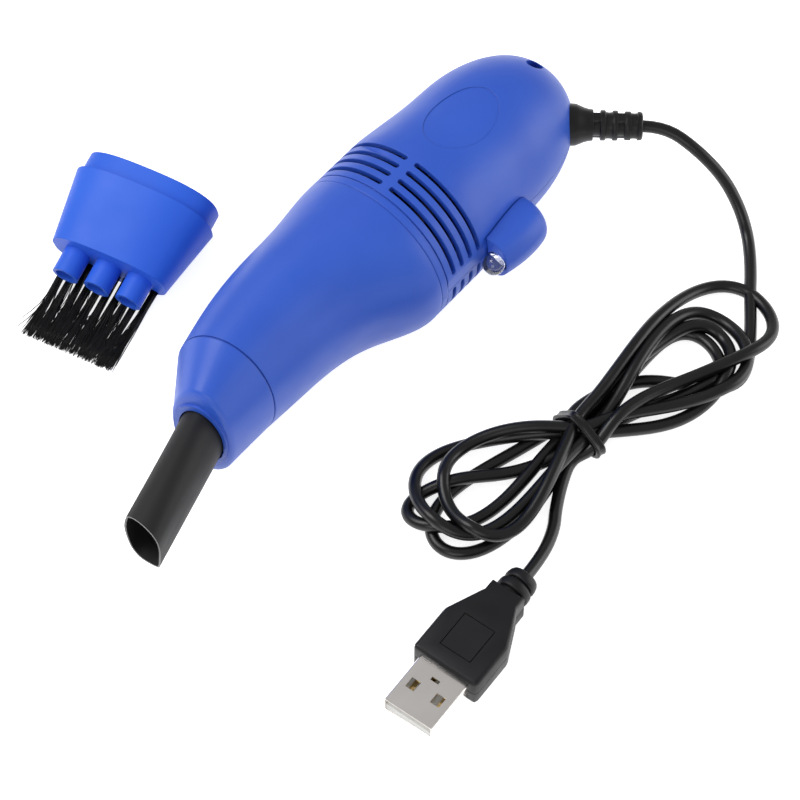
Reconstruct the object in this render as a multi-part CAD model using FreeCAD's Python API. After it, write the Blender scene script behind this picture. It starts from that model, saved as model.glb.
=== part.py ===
"""Desktop mini vacuum cleaner with a USB lead and a loose brush head. Millimetres, +Z up.

Everything on the machine is drawn in its own body frame first: +X runs from the nozzle to the
tail, Y = 0 and Z = 0 are the motor axis, and X = 0 is the joint between dust cup and housing.
It is then set down on the floor by toFloor(). The cord is drawn in floor coordinates.
"""
import os
import math
import FreeCAD
import Part

V = FreeCAD.Vector
os.makedirs("parts", exist_ok=True)

# ---- where the machine stands on the floor ----
bodyX = 12.7                 # joint station, from the centre of the machine and brush
bodyY = -21.15               # motor axis, from the same centre
housingRadius = 19.4         # the housing lies on the floor, so this is the axis height too

# ---- housing shells ----
wall = 1.5                   # shell wall
tailLength = 60.7            # joint to the tip of the tail
tailTaper = 1.6              # the round tail begins this much slimmer than the barrel
tailRadius = housingRadius - tailTaper
tailStart = 31.9             # station where the round tail begins
tailPower = 2.3              # fullness of the tail's superellipse
straightLength = 14.5        # stretch of full radius behind the joint
seamGap = 0.12               # hairline between upper and lower shell
spigotStep = 2.2
spigotRadius = housingRadius - spigotStep    # neck that the dust cup slides over
spigotLength = 4.2
spigotWall = 1.3
ringGroove = 0.35            # depth and width of the decorative groove behind the joint
ringStation = 2.0
jointBevel = 0.3             # on the housing's front edge
flatDepth = 0.3              # shallow flat along the switch side, ahead of the thumb slide
flatEnd = 22.0
slotCount = 4
slotWidth = 1.25
slotFirst = 4.6              # station of the first vent slot
slotPitch = 2.78
slotFrom = 5.0               # degrees from the crown, in the upper shell
slotTo = 76.0
slotLow = 86.0               # the lower shell's slots run this far from its lowest line
screwStation = tailLength - 5.1         # housing screw, vertical, in the tail
screwHoleRadius = 1.9
screwBossRadius = 3.0
screwRadius = 1.2
recessStation = 29.9         # bare shallow oval on the crown
recessLength = 20.0
recessWidth = 13.5
recessDepth = 0.15
dentStation = 50.9           # small thumb dent on the far side of the tail
dentAngle = 28.0             # degrees above the parting plane
dentRadius = 3.2
dentDepth = 0.6

# ---- dust cup, nose cap and tube ----
seamStation = -46.1          # joint between dust cup and nose cap
seamOffset = 1.5             # sideways shift of the mouth, away from the lamp
seamHalfWidth = 11.5
seamHalfHeight = 17.0
seamTilt = 13.0              # degrees, the mouth faces the lamp side by this much
cupWall = 1.6
seamGroove = 0.35            # fine groove round the seam
sleeveDepth = 4.6
fitGap = 0.1                 # push fits between cup, cap, tube and housing
mouthDepth = 5.5             # depth of the nose cap's spigot in the mouth
mouthWall = 1.3
noseStation = -57.0          # front shoulder of the nose cap
noseOffset = -2.2
noseTilt = 10.0
noseHalfWidth = 7.6
noseHalfHeight = 14.4
lipHalfWidth = 6.55
lipHalfHeight = 10.15
lipReach = 1.7               # lip stands this far ahead of the shoulder
tubeTilt = 17.2
tubeHalfWidth = 5.25
tubeHalfHeight = 8.6
tubeWall = 0.6
tubeInside = 7.5             # length of tube held inside the nose cap
tubeShort = 27.6             # shoulder to tip along the far side
tubeLong = 31.9              # shoulder to tip along the lamp side
tipHalfWidth = 5.4
tipHalfHeight = 7.7

# ---- motor and fan ----
motorRadius = 10.0
motorFlat = 7.5              # half the distance over the can's two flats
motorFront = 20.0
canLength = 25.0
bellLength = 3.0
terminalLength = 2.6
terminalPitch = 12.4
shaftRadius = 1.0
shaftFront = 2.9
plateStation = 15.2          # bulkhead that carries the motor
plateThickness = 1.5
inletStation = 0.55          # plate with the fan's inlet hole
inletThickness = 1.2
inletRadius = 6.5
fanGap = 4.4                 # between the fan wheel and the inside of the shell
fanRadius = housingRadius - wall - fanGap
fanBack = 13.0               # rear face of the impeller's disc
fanDisc = 1.2
bladeCount = 9
bladeFront = 3.6
bladeThickness = 0.8
hubRadius = 3.0
ribStations = (24.0, 40.0)   # cradle ribs that hold the can
ribThickness = 1.6
filterThickness = 1.8
clothThickness = 0.5

# ---- switch, lamp and thumb slide ----
slideFront = 15.4            # flat front face of the thumb slide
slideLength = 15.1
slideHalfWidth = 5.6
slideRise = 6.9              # outer face of the slide above the housing
slideReach = housingRadius + slideRise
slideTravel = 2.5
slideWall = 1.5
slideCheek = 2.2             # thickness of the slide's rounded sides
slideGap = 0.25              # clearance between slide and shell
slideRoof = 1.0              # the roof inside follows this far below the slide's highest line
slideHeel = 3.0              # solid stretch at the slide's rear
leverStation = 26.0
leverHalf = 1.0
leverSlotHalf = 1.5          # half the width of the slot in the shell for lever and lamp leads
leverSlotEnds = 0.5          # room past the lever at the slot's rear
ledRadius = 2.45
ledStation = 14.3            # centre of the lamp's dome
ledRise = 2.7                # lamp axis above the housing
ledReach = housingRadius + ledRise
ledLength = 5.6
ledFlange = 0.9              # length of the lamp's flange, which is ledRim wider than the lamp
ledRim = 0.15
lampGap = 0.15               # round the lamp in the slide
leadPitch = 1.3              # between the lamp's two leads
leadRadius = 0.25
leadDrop = 1.6               # the leads turn down this far behind the lamp's flange
switchHeight = 3.3
boardDepth = 7.8             # inner face of the switch board below the housing's surface
boardReach = housingRadius - boardDepth
boardThickness = 1.0
boardHalfWidth = 6.6
boardFront = 19.0
boardRear = 39.6

# ---- cord, tie and plug ----
cordRadius = 1.4
floorCord = 1.45             # height of the cord's centre where it lies on the floor
bootStation = tailLength - 6.2         # where the strain relief leaves the tail
bootSink = 0.1               # the boot's axis meets the tail this far below its surface
bootLift = 0.9               # above the parting plane
bootHeading = -52.0          # degrees from +X
bootLength = 15.4
hankX = 14.2                 # where the turns cross
hankY = -77.65
hankHeading = -22.0
hankHeight = 9.8
hankTied = 9.4               # height of the hank where the tie holds it down
hankFloor = 0.02             # underside of the hank
hankWaist = 7.1              # half the hank's width in the tie
tieThickness = 1.1
tieWidth = 2.2
tieGap = 0.15
tieAlong = -0.6              # middle of the tie, along and across the hank
tieAcross = -0.7
tieTurn = 13.0               # degrees, the tie crosses the hank askew
plugX = -50.8                # joint of plug shell and overmould
plugY = -93.2
plugHeading = 183.2
plugHeight = 4.1             # height of the plug's centre
shellWidth = 12.0
shellHeight = 4.5
shellLength = 12.4
shellWall = 0.3
overmouldHalfWidth = 8.0
reliefLength = 28.6          # joint to the end of the ringed relief

# ---- brush head ----
brushX = -4.2                # middle of the brush rim on the floor plan
brushY = 30.6
brushHeading = 193.0
rimHalfLength = 16.9
rimHalfDepth = 10.35
footHalfLength = 14.1
footHalfDepth = 6.85
brushHeight = 16.85
collarHeight = 4.7
collarInsetLength = 0.9
collarInsetDepth = 1.5
brushWall = 1.6
postRadius = 3.05
postBore = 2.25
postLength = 6.05
postPitch = 7.87
postShift = 0.1              # the posts stand this far to the upper side
tuftCount = 10
tuftPitch = 2.35
tuftRadius = 0.95
tuftTipRadius = 1.15
tuftShift = -4.25
tuftLength = 22.0
tuftRoot = 1.2               # depth of the tuft in its hole
tuftKnee = 7.0               # the bristles rest on the floor from here on
tuftLeanRoot = 0.02          # sideways lean towards the posts, per unit of length
tuftLeanTip = 0.2
tuftSpread = 0.008           # each tuft leans outwards by this more than the last


# ---- small helpers ----

def toFloor(shape):
    placed = shape.copy()
    placed.translate(V(bodyX, bodyY, housingRadius))
    return placed


def heading(degrees):
    return V(math.cos(math.radians(degrees)), math.sin(math.radians(degrees)), 0)


def unit(vector):
    return vector * (1.0 / vector.Length)


def box(x0, x1, y0, y1, z0, z1):
    return Part.makeBox(x1 - x0, y1 - y0, z1 - z0, V(x0, y0, z0))


def rod(start, end, radius):
    return Part.makeCylinder(radius, (end - start).Length, start, end - start)


def spin(points):
    """Turn an outline of (station, radius) points about the X axis."""
    corners = [V(x, r, 0) for x, r in points]
    wire = Part.makePolygon(corners + corners[:1])
    return Part.Face(wire).revolve(V(0, 0, 0), V(1, 0, 0), 360)


def place(shape, origin, xDirection, yDirection):
    """Set a shape drawn at the world origin at another place and attitude."""
    zDirection = xDirection.cross(yDirection)
    turned = shape.copy()
    turned.Placement = FreeCAD.Placement(origin, FreeCAD.Rotation(xDirection, yDirection, zDirection, "XYZ"))
    return turned


def oval(origin, normalHeading, halfWidth, halfHeight):
    """Upright ellipse whose plane faces normalHeading."""
    across = heading(normalHeading + 90)
    if halfHeight >= halfWidth:
        edge = Part.Ellipse(V(0, 0, 0), halfHeight, halfWidth).toShape()
        return Part.Wire(place(edge, origin, V(0, 0, 1), across))
    edge = Part.Ellipse(V(0, 0, 0), halfWidth, halfHeight).toShape()
    return Part.Wire(place(edge, origin, across, V(0, 0, 1)))


def flatOval(centre, halfLength, halfDepth, power=2.6, count=24):
    """Superellipse in the brush's own XY plane, as one closed smooth edge."""
    points = []
    for k in range(count):
        angle = 2 * math.pi * k / count
        c, s = math.cos(angle), math.sin(angle)
        points.append(centre + V(math.copysign(abs(c) ** (2 / power), c) * halfLength,
                                 math.copysign(abs(s) ** (2 / power), s) * halfDepth, 0))
    curve = Part.BSplineCurve()
    curve.interpolate(points, PeriodicFlag=True)
    return Part.Wire(curve.toShape())


def tube(points, radius, name=""):
    """Round tube along straight runs joined by tangent arcs as large as the runs allow."""
    edges = []
    last = points[0]
    radii = []
    for before, corner, after in zip(points, points[1:], points[2:]):
        a = before - corner
        b = after - corner
        half = (math.pi - a.getAngle(b)) / 2
        bend = 0.45 * min(a.Length, b.Length) / math.tan(half)
        radii.append(bend)
        cut = bend * math.tan(half)
        start = corner + unit(a) * cut
        end = corner + unit(b) * cut
        inward = unit(unit(a) + unit(b))
        middle = corner + inward * (bend / math.cos(half) - bend)
        edges.append(Part.LineSegment(last, start).toShape())
        edges.append(Part.Arc(start, middle, end).toShape())
        last = end
    edges.append(Part.LineSegment(last, points[-1]).toShape())
    path = Part.Wire(edges)
    section = Part.Wire(Part.makeCircle(radius, points[0], points[1] - points[0]))
    solid = path.makePipeShell([section], True, True)
    if name:
        exact = math.pi * radius ** 2 * path.Length
        print("%s: length %.1f, least bend %.1f, volume over exact %.4f"
              % (name, path.Length, min(radii), solid.Volume / exact))
    return solid


# ---- housing ----

def housingRadiusAt(station, inset=0.0):
    """Outer radius of the housing, or of its inner face when inset is the wall."""
    if station <= straightLength:
        return housingRadius - inset
    if station <= tailStart:
        part = (station - straightLength) / (tailStart - straightLength)
        ease = part * part * (3 - 2 * part) * 0.5 + part * 0.5
        return housingRadius - (housingRadius - tailRadius) * ease - inset
    part = min(1.0, (station - tailStart) / (tailLength - inset - tailStart))
    return (tailRadius - inset) * (1 - part ** tailPower) ** (1 / tailPower)


def housingBody(inset=0.0, start=0.0):
    """Solid of revolution inside the housing's outline."""
    stations = [straightLength + (tailStart - straightLength) * k / 4 for k in range(1, 5)]
    reach = tailLength - inset - tailStart
    stations += [tailStart + reach * math.sin(math.radians(a)) for a in (16, 32, 46, 58, 69, 79, 85)]
    points = [V(straightLength, housingRadius - inset, 0)]
    points += [V(s, housingRadiusAt(s, inset), 0) for s in stations]
    points.append(V(tailLength - inset, 0, 0))
    curve = Part.BSplineCurve()
    curve.interpolate(points, InitialTangent=V(1, 0, 0), FinalTangent=V(0, -1, 0))
    front = V(start, housingRadius - inset, 0)
    outline = Part.Wire([Part.LineSegment(V(start, 0, 0), front).toShape(),
                         Part.LineSegment(front, points[0]).toShape(),
                         curve.toShape(),
                         Part.LineSegment(points[-1], V(start, 0, 0)).toShape()])
    return Part.Face(outline).revolve(V(0, 0, 0), V(1, 0, 0), 360)


def ventSlots():
    """Rows of slots through both shells, mirrored about the upright plane."""
    tools = []
    reach = housingRadius + 1
    depth = housingRadius - wall - 1
    for k in range(slotCount):
        middle = slotFirst + slotPitch * k
        low = middle - slotWidth / 2
        blank = Part.makePolygon([V(low, 0, depth), V(low + slotWidth, 0, depth),
                                  V(low + slotWidth, 0, reach), V(low, 0, reach), V(low, 0, depth)])
        for begin, end in ((slotFrom, slotTo), (-slotTo, -slotFrom), (180 - slotLow, 180 - slotFrom),
                           (180 + slotFrom, 180 + slotLow)):
            sector = Part.Face(blank).revolve(V(0, 0, 0), V(1, 0, 0), end - begin)
            sector.rotate(V(0, 0, 0), V(1, 0, 0), begin)
            tools.append(sector)
            for angle in (begin, end):
                out = V(0, -math.sin(math.radians(angle)), math.cos(math.radians(angle)))
                tools.append(rod(V(middle, 0, 0) + out * depth, V(middle, 0, 0) + out * reach, slotWidth / 2))
    return Part.makeCompound(tools)


def motorOutline(extra=0.0):
    """Round can with two flats, as a long block for cutting."""
    barrel = Part.makeCylinder(motorRadius + extra, canLength + 30, V(motorFront - 15, 0, 0), V(1, 0, 0))
    flats = box(motorFront - 15, motorFront + canLength + 15, -motorFlat - extra, motorFlat + extra,
                -motorRadius - 1, motorRadius + 1)
    return barrel.common(flats)


def terminalRoom():
    """Free space behind the motor for its terminals."""
    back = motorFront + canLength + bellLength
    reach = terminalPitch / 2 + 0.5
    return box(back - 1, back + terminalLength + 0.3, -1.3, 1.3, -reach, reach)


def bootFrame():
    """Point on the tail where the cord boot stands, and its direction."""
    return V(bootStation, bootSink - housingRadiusAt(bootStation), bootLift), heading(bootHeading)


def housingShells():
    shell = housingBody()
    shell = shell.cut(housingBody(wall, inletStation - 0.15))
    neck = spin([(-spigotLength, spigotRadius - spigotWall), (-spigotLength, spigotRadius),
                 (0.3, spigotRadius), (0.3, housingRadius - wall / 2),
                 (inletStation - 0.15, housingRadius - wall / 2),
                 (inletStation - 0.15, spigotRadius - spigotWall)])
    bore = Part.makeCylinder(spigotRadius - spigotWall, 3, V(-1, 0, 0), V(1, 0, 0))
    shell = shell.fuse(neck).cut(bore)
    ribs = []
    for station in ribStations:
        disc = Part.makeCylinder(housingRadiusAt(station) - wall / 2, ribThickness, V(station, 0, 0), V(1, 0, 0))
        clear = box(station - 1, station + ribThickness + 1, -housingRadius, -motorFlat - 0.1,
                    -boardHalfWidth - 0.2, boardHalfWidth + 0.2)
        ribs.append(disc.cut(motorOutline(0.1)).cut(clear))
    screwTop = V(screwStation, 0, housingRadiusAt(screwStation))
    boss = rod(V(screwStation, 0, -housingRadius), V(screwStation, 0, housingRadius), screwBossRadius)
    boss = boss.common(housingBody(wall / 2, inletStation))
    boss = boss.cut(terminalRoom())
    shell = shell.multiFuse(ribs + [boss])
    groove = spin([(ringStation, housingRadius - ringGroove), (ringStation, housingRadius + 1),
                   (ringStation + ringGroove, housingRadius + 1),
                   (ringStation + ringGroove, housingRadius - ringGroove)])
    bevel = spin([(-1, housingRadius - jointBevel - 1), (jointBevel, housingRadius), (jointBevel, housingRadius + 1),
                  (-1, housingRadius + 1)])
    flat = box(ringStation + ringGroove, flatEnd, -housingRadius - 1, -housingRadius + flatDepth,
               -housingRadius, housingRadius)
    headSeat = rod(V(screwStation, 0, 5.0), screwTop + V(0, 0, 4), screwHoleRadius)
    pilot = rod(V(screwStation, 0, -9.0), V(screwStation, 0, 6.0), screwRadius)
    origin, out = bootFrame()
    cordHole = rod(origin - out * 9, origin + out * 4, 2.75)
    slot = box(lampBack() + leadDrop - leadRadius - 0.15, leverStation + leverHalf + slideTravel + leverSlotEnds,
               -housingRadius - 1, -housingRadius + 6, -leverSlotHalf, leverSlotHalf)
    shell = shell.cut(ventSlots()).cut(groove).cut(bevel).cut(flat).cut(recessTool()).cut(dentTool())
    shell = shell.cut(headSeat).cut(pilot).cut(cordHole).cut(slot)
    big = 3 * tailLength
    upper = shell.common(box(-big, big, -big, big, seamGap / 2, big))
    lower = shell.common(box(-big, big, -big, big, -big, -seamGap / 2))
    return upper.removeSplitter(), lower.removeSplitter()


def recessTool():
    """Oval column whose foot is the shallow recess on the crown."""
    edge = Part.Ellipse(V(0, 0, 0), recessLength / 2, recessWidth / 2).toShape()
    face = Part.Face(Part.Wire(edge))
    column = place(face, V(recessStation, 0, housingRadius - 6), V(1, 0, 0), V(0, 1, 0)).extrude(V(0, 0, 9))
    return column.cut(housingBody(recessDepth))


def dentTool():
    """Ball that leaves a shallow dent on the far side, ahead of the tail."""
    angle = math.radians(dentAngle)
    distance = housingRadiusAt(dentStation) + dentRadius - dentDepth
    return Part.makeSphere(dentRadius, V(dentStation, distance * math.cos(angle), distance * math.sin(angle)))


# ---- dust cup ----

def cupSections(inset):
    """Ovals from the mouth back to the joint: station, offset, half width, half height, tilt."""
    rows = [(seamStation, seamOffset, seamHalfWidth, seamHalfHeight, seamTilt),
            (-34.0, 2.8, housingRadius - 6.2, housingRadius - 1.5, 6.0),
            (-25.0, 3.1, housingRadius - 5.4, housingRadius - 1.0, 2.0),
            (-16.0, 2.4, housingRadius - 4.2, housingRadius - 0.6, 0.0),
            (-9.5, 1.2, housingRadius - 2.2, housingRadius - 0.3, 0.0),
            (-3.6, 0.15, housingRadius - 0.3, housingRadius - 0.05, 0.0),
            (0.0, 0.0, housingRadius, housingRadius, 0.0)]
    return [oval(V(s, y, 0), tilt, w - inset, h - inset) for s, y, w, h, tilt in rows]


def dustCup():
    outer = Part.makeLoft(cupSections(0.0), True)
    inner = Part.makeLoft(cupSections(cupWall), True)
    cup = outer.cut(inner)
    ring = spin([(-sleeveDepth, spigotRadius - 1), (-sleeveDepth, housingRadius + 1),
                 (0.0, housingRadius + 1), (0.0, spigotRadius - 1)])
    cup = cup.fuse(ring.common(outer))
    cup = cup.cut(Part.makeCylinder(spigotRadius + fitGap, sleeveDepth + 2, V(-sleeveDepth, 0, 0), V(1, 0, 0)))
    into = heading(seamTilt)
    mouth = Part.Face(oval(mouthOrigin() - into * 0.5, seamTilt, seamHalfWidth - cupWall + fitGap,
                           seamHalfHeight - cupWall + fitGap))
    passage = mouth.extrude(into * (mouthDepth + 1.0))
    return cup.cut(passage).cut(seamBevel())


def mouthOrigin():
    return V(seamStation, seamOffset, 0)


def seamBevel():
    """Fine groove round the cup's edge at the seam."""
    outer = Part.Face(oval(mouthOrigin(), seamTilt, seamHalfWidth + 2, seamHalfHeight + 2))
    inner = Part.Face(oval(mouthOrigin(), seamTilt, seamHalfWidth - seamGroove, seamHalfHeight - seamGroove))
    return outer.cut(inner).extrude(heading(seamTilt) * seamGroove)


# ---- nose cap and tube ----

def noseOrigin():
    return V(noseStation, noseOffset, 0)


def tubeOval(distance, halfWidth, halfHeight):
    """Oval across the tube's axis, this far ahead of the shoulder."""
    return oval(noseOrigin() - heading(tubeTilt) * distance, tubeTilt, halfWidth, halfHeight)


def noseCap():
    into = heading(seamTilt)
    out = -heading(noseTilt)
    outer = Part.makeLoft([oval(mouthOrigin(), seamTilt, seamHalfWidth, seamHalfHeight),
                           oval(noseOrigin(), noseTilt, noseHalfWidth, noseHalfHeight)], True, True)
    land = [(0.0, 0.0, 0.0), (0.5, 0.15, 0.5), (0.9, 0.4, 1.4), (1.15, 0.75, 2.9)]
    rings = [oval(noseOrigin() + out * d, noseTilt, noseHalfWidth - w, noseHalfHeight - h) for d, w, h in land]
    shoulder = Part.makeLoft(rings, True, True)
    lip = Part.Face(oval(noseOrigin(), noseTilt, lipHalfWidth, lipHalfHeight)).extrude(out * lipReach)
    spigot = Part.Face(oval(mouthOrigin(), seamTilt, seamHalfWidth - cupWall,
                            seamHalfHeight - cupWall)).extrude(into * mouthDepth)
    cap = outer.multiFuse([shoulder, lip, spigot])
    inner = oval(mouthOrigin(), seamTilt, seamHalfWidth - cupWall - mouthWall, seamHalfHeight - cupWall - mouthWall)
    hollow = Part.makeLoft([inner, tubeOval(0.5 - tubeInside, tubeHalfWidth + 0.5, tubeHalfHeight + 0.6)], True, True)
    throat = Part.Face(inner).extrude(into * (mouthDepth + 1))
    bore = Part.makeLoft([tubeOval(4, tubeHalfWidth + fitGap, tubeHalfHeight + fitGap),
                          tubeOval(-tubeInside - 3, tubeHalfWidth + fitGap, tubeHalfHeight + fitGap)], True, True)
    return cap.cut(hollow).cut(throat).cut(bore).removeSplitter()


def tubeBody(inset, overrun=0.0):
    """The tube's outline, narrowed by inset, from its inner end past the slanting tip."""
    return Part.makeLoft([tubeOval(-tubeInside - overrun, tubeHalfWidth - inset, tubeHalfHeight - inset),
                          tubeOval(tubeLong + 1, tipHalfWidth - inset, tipHalfHeight - inset)], True, True)


def nozzleTube():
    solid = tubeBody(0.0).cut(tubeBody(tubeWall, 1.0))
    axis = heading(tubeTilt)
    across = heading(tubeTilt + 90)
    slope = (tubeLong - tubeShort) / (2 * tipHalfWidth)
    wide = tubeHalfWidth + 8
    nearPoint = noseOrigin() - axis * (tubeLong + slope * (wide - tipHalfWidth)) - across * wide
    farPoint = noseOrigin() - axis * (tubeShort - slope * (wide - tipHalfWidth)) + across * wide
    away = axis * -40
    blank = Part.makePolygon([nearPoint, farPoint, farPoint + away, nearPoint + away, nearPoint])
    cutter = Part.Face(blank).extrude(V(0, 0, 40))
    cutter.translate(V(0, 0, -20))
    return solid.cut(cutter).removeSplitter()


# ---- filter ----

def filterFrame():
    outer = spigotRadius - spigotWall - 0.1
    front = -spigotLength + 0.3
    ring = spin([(front, outer - 2.2), (front, outer), (front + filterThickness, outer),
                 (front + filterThickness, outer - 2.2)])
    bars = [box(front, front + 1.2, -outer + 1, outer - 1, -0.8, 0.8),
            box(front, front + 1.2, -0.8, 0.8, -outer + 1, outer - 1)]
    hub = Part.makeCylinder(3.0, 1.2, V(front, 0, 0), V(1, 0, 0))
    return ring.multiFuse(bars + [hub]).removeSplitter()


def filterCloth():
    front = -spigotLength + 0.3 + filterThickness
    return Part.makeCylinder(spigotRadius - spigotWall - 0.1, clothThickness, V(front, 0, 0), V(1, 0, 0))


# ---- motor and fan ----

def inletPlate():
    outer = housingRadius - wall - 0.05
    return spin([(inletStation, inletRadius), (inletStation, outer), (inletStation + inletThickness, outer),
                 (inletStation + inletThickness, inletRadius + 0.8)])


def motorPlate():
    outer = housingRadiusAt(plateStation) - wall - 0.1
    plate = Part.makeCylinder(outer, plateThickness, V(plateStation, 0, 0), V(1, 0, 0))
    collar = Part.makeCylinder(6.0, motorFront - plateStation, V(plateStation, 0, 0), V(1, 0, 0))
    plate = plate.fuse(collar)
    plate = plate.cut(Part.makeCylinder(3.1, 20, V(plateStation - 5, 0, 0), V(1, 0, 0)))
    for side in (1, -1):
        plate = plate.cut(rod(V(plateStation - 1, 0, side * 4.5), V(motorFront + 1, 0, side * 4.5), 0.9))
    notch = box(plateStation - 1, plateStation + plateThickness + 1, -outer - 1, -outer + 2.5, -2.5, 2.5)
    return plate.cut(notch)


def motorScrews():
    screws = []
    for side in (1, -1):
        head = rod(V(plateStation - 0.9, 0, side * 4.5), V(plateStation, 0, side * 4.5), 1.5)
        shank = rod(V(plateStation, 0, side * 4.5), V(motorFront + 2.0, 0, side * 4.5), 0.8)
        screws.append(head.fuse(shank))
    return Part.makeCompound(screws)


def motorCan():
    can = Part.makeCylinder(motorRadius, canLength, V(motorFront, 0, 0), V(1, 0, 0))
    can = can.common(box(motorFront - 1, motorFront + canLength + 1, -motorFlat, motorFlat, -12, 12))
    can = can.fuse(Part.makeCylinder(3.0, 1.6, V(motorFront - 1.6, 0, 0), V(1, 0, 0)))
    can = can.cut(Part.makeCylinder(shaftRadius + 0.05, canLength + 10, V(motorFront - 5, 0, 0), V(1, 0, 0)))
    for side in (1, -1):
        can = can.cut(rod(V(motorFront - 1, 0, side * 4.5), V(motorFront + 2.2, 0, side * 4.5), 0.8))
    return can


def motorBell():
    back = motorFront + canLength
    bell = Part.makeCylinder(motorRadius - 0.3, bellLength, V(back, 0, 0), V(1, 0, 0))
    bell = bell.common(box(back - 1, back + bellLength + 1, -motorFlat + 0.2, motorFlat - 0.2, -12, 12))
    boss = Part.makeCylinder(2.6, bellLength + 1.4, V(back, 0, 0), V(1, 0, 0))
    bell = bell.fuse(boss)
    return bell.cut(Part.makeCylinder(shaftRadius + 0.05, 20, V(back - 5, 0, 0), V(1, 0, 0)))


def motorTerminals():
    back = motorFront + canLength + bellLength
    tabs = []
    for side in (1, -1):
        height = side * terminalPitch / 2
        tabs.append(box(back, back + terminalLength, -1.0, 1.0, height - 0.2, height + 0.2))
    return Part.makeCompound(tabs)


def motorShaft():
    return Part.makeCylinder(shaftRadius, motorFront + canLength + 4.0 - shaftFront, V(shaftFront, 0, 0), V(1, 0, 0))


def impeller():
    disc = Part.makeCylinder(fanRadius, fanDisc, V(fanBack - fanDisc, 0, 0), V(1, 0, 0))
    hub = Part.makeCylinder(hubRadius, fanBack - bladeFront, V(bladeFront, 0, 0), V(1, 0, 0))
    blades = []
    for k in range(bladeCount):
        inner = V(bladeFront, 0, hubRadius - 0.5)
        middle = V(bladeFront, 2.4, (fanRadius + hubRadius) / 2)
        outer = V(bladeFront, 0.4, fanRadius)
        shift = V(0, bladeThickness, 0)
        front = Part.Arc(inner, middle, outer).toShape()
        back = Part.Arc(outer + shift, middle + shift, inner + shift).toShape()
        wire = Part.Wire([front, Part.LineSegment(outer, outer + shift).toShape(), back,
                          Part.LineSegment(inner + shift, inner).toShape()])
        blade = Part.Face(wire).extrude(V(fanBack - fanDisc - bladeFront + 0.1, 0, 0))
        blade.rotate(V(0, 0, 0), V(1, 0, 0), 360.0 * k / bladeCount)
        blades.append(blade)
    fan = disc.multiFuse([hub] + blades)
    return fan.cut(Part.makeCylinder(shaftRadius, 20, V(0, 0, 0), V(1, 0, 0))).removeSplitter()


# ---- switch, lamp and thumb slide ----

def slideSection(along, drop, narrowing):
    """D-shaped outline across the slide: a half oval on straight cheeks. Along is a share of its length."""
    station = slideFront + along * slideLength
    half = slideHalfWidth - narrowing
    crown = 0.92 * half
    middle = V(station, drop - slideReach + crown, 0)
    foot = 6 - housingRadius
    cheek = middle + V(0, 0, half)
    corners = [cheek, V(station, foot, half), V(station, foot, -half), middle - V(0, 0, half)]
    curve = Part.Ellipse(cheek, middle - V(0, crown, 0), middle)
    edges = [Part.ArcOfEllipse(curve, 0, math.pi).toShape()]
    edges += [Part.LineSegment(a, b).toShape() for a, b in zip(reversed(corners), reversed(corners[:-1]))]
    return Part.Wire(edges)


def thumbSlide():
    rear = slideFront + slideLength
    rows = [(0.0, 1.1, 0.0), (0.24, 0.35, 0.0), (0.5, 0.0, 0.0), (0.74, 0.2, 0.25), (0.89, 1.1, 0.75),
            (0.965, 2.7, 1.5), (1.0, 4.8, 2.3)]
    block = Part.makeLoft([slideSection(*row) for row in rows], True)
    block = block.cut(housingBody(-slideGap, -1.0))
    cavity = box(slideFront + slideWall, rear - slideHeel, -slideReach + slideRoof + slideWall, -10,
                 -slideHalfWidth + slideCheek, slideHalfWidth - slideCheek)
    lampHole = rod(V(slideFront - 1, -ledReach, 0), V(slideFront + slideWall + 1, -ledReach, 0), ledRadius + lampGap)
    lampRoom = rod(V(slideFront + slideWall, -ledReach, 0),
                   V(ledStation + ledLength + ledFlange + slideTravel + 0.6, -ledReach, 0),
                   ledRadius + ledRim + lampGap)
    return block.cut(cavity).cut(lampHole).cut(lampRoom).removeSplitter()


def switchLever():
    inner = boardReach + 3.4
    outer = slideReach - slideRoof - slideWall
    return box(leverStation - leverHalf, leverStation + leverHalf, -outer, -inner, -leverHalf, leverHalf)


def switchBody():
    base = boardReach + boardThickness
    body = box(leverStation - 3.0, leverStation + 6.3, -base - switchHeight, -base, -2.2, 2.2)
    window = box(leverStation - leverHalf - 0.15, leverStation + leverHalf + slideTravel + 0.15,
                 -base - 4, -base - 1.6, -leverHalf - 0.15, leverHalf + 0.15)
    return body.cut(window)


def switchBoard():
    return box(boardFront, boardRear, -boardReach - boardThickness, -boardReach, -boardHalfWidth, boardHalfWidth)


def ledLamp():
    centre = V(ledStation, -ledReach, 0)
    body = rod(centre, centre + V(ledLength, 0, 0), ledRadius)
    dome = Part.makeSphere(ledRadius, centre)
    flange = rod(centre + V(ledLength, 0, 0), centre + V(ledLength + ledFlange, 0, 0), ledRadius + ledRim)
    return body.multiFuse([dome, flange]).removeSplitter()


def lampBack():
    return ledStation + ledLength + ledFlange


def ledHolder():
    """Small bracket that stands on the housing inside the thumb slide and carries the lamp."""
    back = lampBack() + 0.05
    top = slideReach - slideRoof - slideWall - 0.3
    half = slideHalfWidth - slideCheek - 0.4
    plate = box(back, back + 0.9, -top, -housingRadius + 1, -half, half)
    holes = [rod(V(back - 1, -ledReach, side * leadPitch / 2), V(back + 2, -ledReach, side * leadPitch / 2),
                 leadRadius + 0.1) for side in (1, -1)]
    seat = housingBody(-0.1, 0.0).common(box(back - 1, back + 2, -housingRadius + flatDepth - 0.1, 0, -half, half))
    return plate.cut(Part.makeCompound(holes)).cut(seat)


def ledLeads():
    leads = []
    for side in (1, -1):
        root = V(lampBack(), -ledReach, side * leadPitch / 2)
        turn = root + V(leadDrop, 0, 0)
        end = V(turn.x, -boardReach - boardThickness - 0.05, turn.z)
        leads.append(rod(root, turn, leadRadius).fuse(rod(turn + V(0, -leadRadius, 0), end, leadRadius)))
    return Part.makeCompound(leads)


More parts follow.
